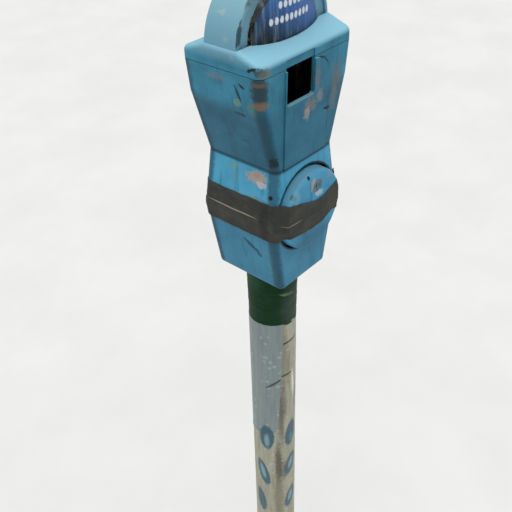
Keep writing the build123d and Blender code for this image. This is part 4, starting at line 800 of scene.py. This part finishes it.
# ---------------------------------------------------------------- sub-assemblies
@dataclass
class VaultTape:
    """Brown cloth tape round the vault, laid in two overlapping turns, with one strip across the door."""

    low: float = 1108.0
    high: float = 1163.0
    levels: tuple[Triple, ...] = ((1015.0, 50.25, 60.75), (1128.0, 69.5, 64.25), (1209.0, 58.5, 60.5))
    corner_r: float = 10.0
    lift: float = 0.9
    second_turn: float = 0.8
    overlap_z: float = 1137.0
    thickness: float = 0.7
    door_z: float = DOOR_HEIGHT
    door_r: float = DOOR_RADIUS
    door_face: float = -76.0
    bevel: float = 5.0
    half_strip: float = 67.5
    rows: int = 34

    def halves(self, z: Grid) -> tuple[Grid, Grid]:
        """Casing's half width and half depth at each height, straight between its levels."""
        heights, widths, depths = np.array(self.levels).T
        return np.interp(z, heights, widths), np.interp(z, heights, depths)

    def front_of_casing(self, x: Grid, z: Grid) -> Grid:
        """Depth of the casing's front at x: flat, then a quarter circle round the corner."""
        half_w, half_d = self.halves(z)
        past = np.clip(np.abs(x) - (half_w - self.corner_r), 0.0, self.corner_r - 0.05)
        return -(half_d - self.corner_r) - np.sqrt(self.corner_r ** 2 - past ** 2)

    def front_of_door(self, x: Grid, z: Grid) -> Grid:
        """Depth of the door's face at a radius: flat, a quarter-circle bevel, then a fall to the casing."""
        radius = np.hypot(x, z - self.door_z)
        past = np.clip(radius - (self.door_r - self.bevel), 0.0, self.bevel)
        bevelled = self.door_face + self.bevel - np.sqrt(self.bevel ** 2 - past ** 2)
        return bevelled + smoothstep(self.door_r - 1.0, self.door_r + 8.0, radius) * 14.0

    def band(self) -> bpy.types.Object:
        """Round the casing from one side of the door to the other: the casing's section, lifted by the tape.

        Radius grows by a lift, by a second turn below the overlap line, by creases along the length and by
        a slightly proud lower edge. The ends stop at the corners beside the door.

        Returns:
            The band.
        """
        places, out = rounded_loop(46, 12)
        keep = ~((out[:, 1] < -0.999) & (np.abs(places[:, 0]) < 0.985))
        core, away = places[keep], out[keep]
        share = np.linspace(0.0, 1.0, self.rows)[:, None]
        arc = np.linspace(0.0, 1.0, len(core))[None, :] * 470.0
        wander = 1.0 * ripple(arc, 0 * share, 11, longest=400.0)
        z = self.low + (self.high - self.low) * share + wander * (0.4 + 0.6 * share)
        z = z + 0.5 * ripple(arc, 40 * share, 12, longest=34.0) * rims(share)
        half_w, half_d = self.halves(z)
        step = self.overlap_z + 2.0 * ripple(arc, 0 * share, 13, longest=300.0)
        turns = self.second_turn * (1.0 - smoothstep(-0.7, 0.7, z - step))
        crease = 0.28 * ripple(arc * 0.3, z * 1.4, 14, longest=30.0) + 0.5 * smoothstep(0.12, 0.0, share)
        reach = self.corner_r + self.lift + turns + crease
        x = core[None, :, 0] * (half_w - self.corner_r) + away[None, :, 0] * reach
        y = core[None, :, 1] * (half_d - self.corner_r) + away[None, :, 1] * reach
        points = np.stack([x, y, z + 0 * x], axis=-1)
        inward = np.stack([-away[None, :, 0] + 0 * x, -away[None, :, 1] + 0 * x, 0 * x], axis=-1)
        lay = np.stack([arc + 0 * x, z + 0 * x], axis=-1)
        return skin("tape_band_turns", points, self.thickness, lay, inward=inward)

    def edges(self, x: Grid) -> tuple[Grid, Grid]:
        """Heights of the door strip's lower and upper edges, sagging over the door's middle."""
        spots = np.array([-68.0, -52.0, -28.0, -7.0, 8.0, 22.0, 40.0, 56.0, 68.0])
        upper = np.array([1164.0, 1164.0, 1158.0, 1151.0, 1147.5, 1149.0, 1155.5, 1161.0, 1163.0])
        lower = np.array([1109.0, 1114.5, 1111.0, 1108.5, 1108.5, 1110.0, 1116.5, 1114.0, 1109.0])
        smooth = np.linspace(-68.0, 68.0, 137)
        kernel = np.hanning(15) / np.hanning(15).sum()
        fair = [np.convolve(np.pad(np.interp(smooth, spots, side), 7, "edge"), kernel, "valid")
                for side in (lower, upper)]
        return np.interp(x, smooth, fair[0]), np.interp(x, smooth, fair[1])

    def strip(self) -> bpy.types.Object:
        """Across the door: the outer of the door's and the casing's depths, blended over the ring gap.

        Returns:
            The strip.
        """
        x = np.linspace(-self.half_strip, self.half_strip, 168)[None, :]
        share = np.linspace(0.0, 1.0, self.rows)[:, None]
        low, high = self.edges(x)
        ragged = 0.5 * ripple(x, 30 * share, 21, longest=18.0)
        z = low + (high - low) * share + ragged * rims(share)
        casing = self.front_of_casing(x, z) - self.lift - self.second_turn - 1.3
        door = self.front_of_door(x, z) - self.lift
        soft = 1.6
        front = -soft * np.log(np.exp(-casing / soft) + np.exp(-door / soft))
        step = 1133.0 + 1.6 * ripple(x, 0 * share, 22, longest=120.0) - 2.5 * np.cos(np.pi * x / 90.0)
        turns = 0.7 * (1.0 - smoothstep(-0.7, 0.7, z - step)) * smoothstep(30.0, 10.0, x)
        crease = 0.35 * ripple(x * 0.5, z * 1.2, 23, longest=26.0)
        y = front - turns - crease - 0.5 * smoothstep(0.12, 0.0, share)
        points = np.stack([x + 0 * z, y, z], axis=-1)
        inward = np.zeros_like(points)
        inward[..., 1] = 1.0
        lay = np.stack([x + 600.0 + 0 * z, z], axis=-1)
        return skin("tape_across_door", points, self.thickness, lay, inward=inward)

    def build(self, material: bpy.types.Material) -> None:
        """Make and place both lengths of tape."""
        settle(self.band(), "post", "brown_cloth_tape", material, "tape_band")
        settle(self.strip(), "door", "brown_cloth_tape", material, "door_tape")


@dataclass
class PoleDress:
    """What is wound round the pole: green tape under the vault and two printed sheets below it."""

    pole_r: float = 36.5
    facing: float = 220.5
    tape_low: float = 908.5
    tape_high: float = 1014.2
    wrap_low: float = 374.6
    wrap_high: float = 915.5
    columns: int = 180

    def around(self) -> Grid:
        """Angles once round the pole, in degrees from the side that the print faces."""
        return np.linspace(0.0, 360.0, self.columns, endpoint=False)[None, :] - 180.0

    def ring(self, radius: Grid, turn: Grid, z: Grid) -> Grid:
        """Points on circles: radius times the cosine and sine of the turn, at a height."""
        angle = np.radians(turn + self.facing)
        return np.stack([radius * np.cos(angle), radius * np.sin(angle), z + 0 * angle], axis=-1)

    def wind(self, name: str, radius: Grid, turn: Grid, arc: Grid, z: Grid, thickness: float,
             loop: bool = False) -> bpy.types.Object:
        """Skin round the pole from a radius, a turn in degrees and a height at each point."""
        inward = -self.ring(np.ones_like(radius), turn, 0 * z) * np.array([1.0, 1.0, 0.0])
        lay = np.stack([arc + 0 * z, z + 0 * arc], axis=-1)
        return skin(name, self.ring(radius, turn, z), thickness, lay, loop=loop, inward=inward)

    def green_tape(self) -> bpy.types.Object:
        """Four slack turns: each steps out over the one below, with diagonal wrinkles and a ragged hem.

        Returns:
            The tape.
        """
        turn = self.around()
        arc = np.radians(turn) * self.pole_r
        share = np.linspace(0.0, 1.0, 60)[:, None]
        hem = 2.2 * ripple(turn * 1.0, 0 * share, 31, longest=150.0) + 1.2 * ripple(turn, 0 * share, 32, longest=36.0)
        z = self.tape_low + 2.6 + hem * (1.0 - share) + (self.tape_high - self.tape_low - 2.6) * share
        slope = z + turn * 0.07
        steps = sum(0.35 * smoothstep(-0.8, 0.8, slope - level) for level in (938.0, 958.0, 981.0))
        facing = 0.35 + 0.65 * np.cos(np.radians(turn - 20)) ** 2
        wrinkle = 0.45 * ripple(arc * 0.8, z * 1.6, 33, waves=9, longest=34.0) * facing
        radius = self.pole_r + 0.95 + 0.1 * ripple(arc, z, 34) + steps + np.maximum(wrinkle, -0.3)
        return self.wind("green_tape_turns", radius, turn, arc, z, 0.8, loop=True)

    def wrap(self) -> bpy.types.Object:
        """Pale printed sheet once round the pole: a cylinder with long soft folds and a lapped seam.

        Returns:
            The sheet.
        """
        turn = self.around()
        arc = np.radians(turn) * self.pole_r
        share = np.linspace(0.0, 1.0, 150)[:, None]
        z = self.wrap_low + (self.wrap_high - self.wrap_low) * share
        folds = 0.22 * ripple(arc * 1.5, z * 0.12, 41, waves=8, longest=40.0) + 0.12 * ripple(arc, z, 42, longest=30.0)
        seam = 0.35 * np.exp(-((arc - 6.0) / 2.2) ** 2)
        radius = self.pole_r + 0.75 + folds + seam
        return self.wind("pale_pole_wrap", radius, turn, arc, z, 0.35, loop=True)

    def sleeve(self) -> bpy.types.Object:
        """Grey-blue sheet over the wrap on one side, its lower end torn off on a slant.

        Returns:
            The sheet.
        """
        columns = np.linspace(0.0, 1.0, 110)[None, :]
        share = np.linspace(0.0, 1.0, 130)[:, None]
        edge = 17.0 - 11.0 * (1.0 - share) + 0.7 * ripple(0 * columns, share * 260.0, 51, longest=60.0)
        arc = -98.0 + (edge + 98.0) * columns
        tear = 668.0 + 0.28 * arc + 2.2 * ripple(arc, 0 * share, 52, longest=26.0)
        z = tear + (self.wrap_high - 0.2 - tear) * share
        folds = 0.12 * ripple(arc * 1.5, z * 0.15, 53, waves=8, longest=36.0)
        curl = 0.7 * smoothstep(0.96, 1.0, columns) + 0.5 * smoothstep(0.03, 0.0, share)
        radius = self.pole_r + 1.45 + folds + curl
        turn = np.degrees(arc / self.pole_r)
        return self.wind("grey_print_sleeve", radius, turn, arc, z, 0.3)

    def build(self, green: bpy.types.Material, pale: bpy.types.Material, grey: bpy.types.Material) -> None:
        """Make and place the tape and both sheets."""
        settle(self.green_tape(), "post", "green_cloth_tape", green, "green_tape")
        settle(self.wrap(), "post", "wrap_paper", pale, "pole_wrap")
        settle(self.sleeve(), "post", "wrap_paper", grey)


class Studio:
    """Pale floor, plain soft lights and the camera."""

    eye: Triple = (-0.6605, -0.5633, 1.6618)
    right: Triple = (0.65530, -0.75494, -0.02519)
    up: Triple = (0.46125, 0.37352, 0.80482)
    forward: Triple = (0.59818, 0.53902, -0.59298)
    lens: float = 50.625
    sky: float = 0.42
    sun: float = 3.7
    front: float = 0.8
    side: float = 0.6

    def floor(self) -> None:
        """Large round floor, its rim a fine polygon."""
        turn = np.linspace(0.0, 2 * np.pi, 128, endpoint=False)
        rim = np.stack([7.0 * np.cos(turn), 7.0 * np.sin(turn), 0 * turn], axis=-1)
        mesh = bpy.data.meshes.new("studio_floor")
        mesh.from_pydata(rim, [], [list(range(len(turn)))])
        ground = bpy.data.objects.new("studio_floor", mesh)
        bpy.context.scene.collection.objects.link(ground)
        finish = PlainFinish("pale_studio_floor", "#c4c4c2", "#c0c0be", roughness=0.85, mottle=400.0)
        mesh.materials.append(finish.material())

    def lamp(self, name: str, place: Triple, size: float, power: float) -> None:
        """Square soft light aimed at the meter's head."""
        light = bpy.data.lights.new(name, "AREA")
        light.shape, light.size, light.energy = "SQUARE", size, power
        lamp = bpy.data.objects.new(name, light)
        lamp.location = place
        aim = Vector((0.0, 0.0, 1.15)) - Vector(place)
        lamp.rotation_euler = aim.to_track_quat("-Z", "Y").to_euler()
        bpy.context.scene.collection.objects.link(lamp)

    def build(self) -> None:
        """Set the floor, the lights, the sky and the camera."""
        scene = bpy.context.scene
        scene.view_settings.view_transform = "Standard"
        self.floor()
        world = bpy.data.worlds.new("studio_sky")
        world.use_nodes = True
        back = world.node_tree.nodes["Background"]
        back.inputs["Color"].default_value = (0.96, 0.98, 1.0, 1.0)
        back.inputs["Strength"].default_value = self.sky
        scene.world = world
        overhead = bpy.data.lights.new("overcast_sky", "SUN")
        overhead.energy, overhead.angle = self.sun, 1.2
        high = bpy.data.objects.new("overcast_sky", overhead)
        high.rotation_euler = (0.06, -0.06, 0.0)
        scene.collection.objects.link(high)
        self.lamp("front_softbox", (0.7, -2.6, 1.9), 1.6, self.front)
        self.lamp("side_softbox", (-2.8, 0.4, 1.7), 1.6, self.side)
        data = bpy.data.cameras.new("meter_camera")
        data.lens, data.sensor_width = self.lens, 36.0
        data.clip_start, data.clip_end = 0.02, 50.0
        camera = bpy.data.objects.new("meter_camera", data)
        axes = Matrix((self.right, self.up, tuple(-c for c in self.forward))).transposed()
        camera.matrix_world = Matrix.Translation(self.eye) @ axes.to_4x4()
        scene.collection.objects.link(camera)
        scene.camera = camera


def sheet_mark(along: float, up: float, half_long: float, half_tall: float, colour: str, strength: float,
               turn: float = 0, **edge: float) -> Blot:
    """A mark on a wrapped sheet or tape: distance along it, height, half sizes and a turn in its plane."""
    return Blot((along, up, 0), (half_long, half_tall, 9), colour, strength, (0, 0, turn), **edge)


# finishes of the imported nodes, by the record's slot
TEAL, TEAL_PALE, OLIVE, UMBER = "#2b5566", "#7fa5b2", "#7d7a62", "#4b463b"
NODE_FINISHES: dict[str, PlainFinish] = {
    "galvanised_pole": PlainFinish("hot_dip_galvanised_steel", "#a9aeae", "#7f8688", 0.85, 0.45, mottle=14.0,
                                   stain="#8f7f68", stain_share=0.25),
    "foot_iron": PlainFinish("cast_iron_foot", "#4a4c4b", "#2d2f2f", 0.35, 0.62, mottle=18.0, tooth=2.4,
                             relief=0.0004, stain="#6b4027", stain_share=0.5),
    "fastener_steel": PlainFinish("zinc_plated_steel", "#b4b3aa", "#7e7d76", 0.95, 0.38, mottle=6.0),
    "gasket_rubber": PlainFinish("black_gasket_rubber", "#232425", "#161718", 0.0, 0.75, mottle=5.0),
    "movement_brass": PlainFinish("lacquered_clock_brass", "#c9a559", "#9c7a38", 1.0, 0.3, mottle=9.0,
                                  stretch=(1.0, 1.0, 0.15)),
    "movement_steel": PlainFinish("turned_movement_steel", "#b9bcbf", "#8c9094", 1.0, 0.28, mottle=4.0),
    "can_steel": PlainFinish("tinned_sheet_steel", "#a7aaa8", "#82858a", 0.9, 0.4, mottle=22.0,
                             stain="#6d5a45", stain_share=0.15),
    "lock_brass": PlainFinish("worn_lock_brass", "#b39a62", "#7c6737", 0.95, 0.35, mottle=3.0),
    "flag_red": PlainFinish("red_flag_lacquer", "#b8322a", "#99251f", 0.0, 0.35, mottle=7.0),
    "pointer_black": PlainFinish("black_pointer_lacquer", "#1d1d1e", "#101011", 0.0, 0.35, mottle=7.0),
    "brown_cloth_tape": PlainFinish("brown_tape_edge", "#3a3733", "#2a2825", 0.0, 0.6),
    "green_cloth_tape": PlainFinish("green_tape_edge", "#1d3f29", "#142d1d", 0.0, 0.6),
    "wrap_paper": PlainFinish("wrap_paper_edge", "#c9c6b6", "#b1ad9a", 0.0, 0.7),
    "printed_card": PlainFinish("card_edge", "#2f5f95", "#27507d", 0.0, 0.5),
}
TEAL_MARKS = (
    sheet_mark(-14, 650, 13.5, 31, TEAL, 0.95, ragged=0.18, soft=0.12),
    sheet_mark(-14, 641, 4.5, 16, TEAL_PALE, 0.8, ragged=0.5, soft=0.5),
    sheet_mark(31, 652, 12, 32, TEAL, 0.9, turn=-8, ragged=0.2, soft=0.15),
    sheet_mark(32, 640, 3.5, 12, "#4f8aa0", 0.7, turn=-8, ragged=0.3, soft=0.3),
    sheet_mark(-22, 548, 11, 34, TEAL, 0.9, turn=14, ragged=0.2, soft=0.15),
    sheet_mark(-23, 552, 4.5, 18, TEAL_PALE, 0.85, turn=14, ragged=0.3, soft=0.3),
    sheet_mark(31, 566, 12, 29, TEAL, 0.85, turn=-16, ragged=0.2, soft=0.15),
    sheet_mark(32, 569, 4.5, 14, TEAL_PALE, 0.85, turn=-16, ragged=0.3, soft=0.3),
    sheet_mark(-28, 462, 10, 32, TEAL, 0.9, turn=8, ragged=0.2, soft=0.15),
    sheet_mark(31, 468, 11, 30, TEAL, 0.85, turn=-14, ragged=0.2, soft=0.15),
    sheet_mark(31, 470, 4.5, 14, TEAL_PALE, 0.85, turn=-14, ragged=0.3, soft=0.3),
)
PALE_STAINS = (
    sheet_mark(16, 840, 7, 62, OLIVE, 0.75, ragged=1, soft=0.5),
    sheet_mark(26, 812, 4, 45, OLIVE, 0.6, ragged=1.2, soft=0.5),
    sheet_mark(14, 738, 8, 40, UMBER, 0.55, ragged=0.9, soft=0.6),
    sheet_mark(12, 690, 5, 60, UMBER, 0.6, ragged=0.9, soft=0.6),
    sheet_mark(7, 570, 6, 60, UMBER, 0.85, ragged=0.8, soft=0.5),
    sheet_mark(7, 470, 8.5, 66, OLIVE, 0.85, ragged=0.7, soft=0.5),
    sheet_mark(16, 556, 7, 26, UMBER, 0.55, ragged=1, soft=0.6),
    sheet_mark(24, 873, 24, 2.2, "#33352b", 0.9, turn=5, ragged=1),
    sheet_mark(22, 802, 15, 2, "#2b3029", 0.9, turn=3, ragged=0.6),
    sheet_mark(37, 770, 3, 34, "#dfe0d8", 0.9, turn=3, ragged=0.7),
    sheet_mark(42, 740, 3.5, 26, "#54777f", 0.6, ragged=0.8),
)
SLEEVE_MARKS = (
    sheet_mark(0, 787, 18, 2.2, "#2b3029", 0.9, turn=38, ragged=0.6),
    sheet_mark(15.5, 790, 1.6, 130, "#8f8f7c", 0.7, ragged=0.8, soft=0.5),
) + TEAL_MARKS[:2]
BROWN_MARKS = (
    # pale lines along the overlap: the adhesive edge, with a painted highlight on the step between the turns
    sheet_mark(368, 1137.5, 48, 0.9, "#9a9282", 0.75, ragged=0.25),
    sheet_mark(556, 1134, 17, 0.8, "#8a8272", 0.65, turn=-4, ragged=0.25),
    # painted shade: a dark band where the tape turns round the front-left corner
    sheet_mark(434, 1136, 9, 30, "#232624", 0.55, ragged=0.5, soft=0.6),
)
GREEN_MARKS = (
    sheet_mark(24, 972, 13, 3.2, "#77896c", 0.85, turn=-14, ragged=1.1),
    sheet_mark(30, 945, 16, 36, "#3d4a44", 0.7, ragged=0.8, soft=0.6),
    sheet_mark(-30, 1000, 14, 16, "#22513a", 0.6, ragged=0.8, soft=0.6),
    sheet_mark(10, 1004, 14, 5, "#07120c", 0.9, ragged=0.7),
)


def dress_nodes(nodes: Mapping[str, bpy.types.Object]) -> None:
    """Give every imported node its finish: the blue shells their own paint, the rest by slot.

    Args:
        nodes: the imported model's objects by name, each with a material named after its slot.
    """
    painted_lock = PlainFinish("overpainted_lock_face", "#6a8f9e", "#4d7484", 0.1, 0.5, mottle=3.0,
                               stain="#2b3a40", stain_share=0.5)
    special = {
        "cap": StreetEnamel(Marks.CAP), "front_bezel": StreetEnamel(Marks.CAP, fresh="#4d8098"),
        "rear_bezel": StreetEnamel(Marks.CAP, fresh="#4d8098"),
        "mechanism_housing": StreetEnamel(Marks.HOUSING, HOUSING_WALLS),
        # the vault's tones are brighter than the housing's: painted light on its upward-tilted upper front
        "vault_casing": StreetEnamel(Marks.VAULT, VAULT_WALLS, fresh="#53a9cc", deep="#4496ba"),
        "vault_door": StreetEnamel(Marks.DOOR, fresh="#4ba2c8", deep="#3f8cb0", chalk_and_sheen="#55899f"),
        "front_lens": CrazedPlastic(), "rear_lens": CrazedPlastic("crazed_rear_polycarbonate", 0.1),
        "door_lock_shell": painted_lock, "door_lock_rotor": painted_lock,
        "notice_card": NoticePrint(), "dial_plate": DialEnamel(),
    }
    made: dict[object, bpy.types.Material] = {}
    for name, node in nodes.items():
        finish = special.get(name) or NODE_FINISHES[node.data.materials[0].name.split(".")[0]]
        if finish not in made:
            made[finish] = finish.material()
        node.data.materials.clear()
        node.data.materials.append(made[finish])
    LOG.info("dressed %d packed nodes", len(nodes))


def main() -> None:
    """Build every dressed sub-assembly in order, then the studio."""
    logging.basicConfig(level=logging.INFO, format="%(name)s: %(message)s")
    dress_nodes(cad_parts)
    VaultTape().build(ClothTape("brown_cloth_tape_film", "#383a37", "#58544b", blots=BROWN_MARKS).material())
    PoleDress().build(
        ClothTape("green_cloth_tape_film", "#0c3319", "#1d472b", blots=GREEN_MARKS).material(),
        PrintedWrap("water_stained_paper", "#a9a895", "#8f8d7b", "#d9d9d0", 0.3, PALE_STAINS + TEAL_MARKS).material(),
        PrintedWrap("grey_printed_sleeve", "#82908f", "#737f80", "#a6b6b6", 0.5, SLEEVE_MARKS, 0.1, 0.45).material(),
    )
    Studio().build()


if __name__ == "__main__":
    main()
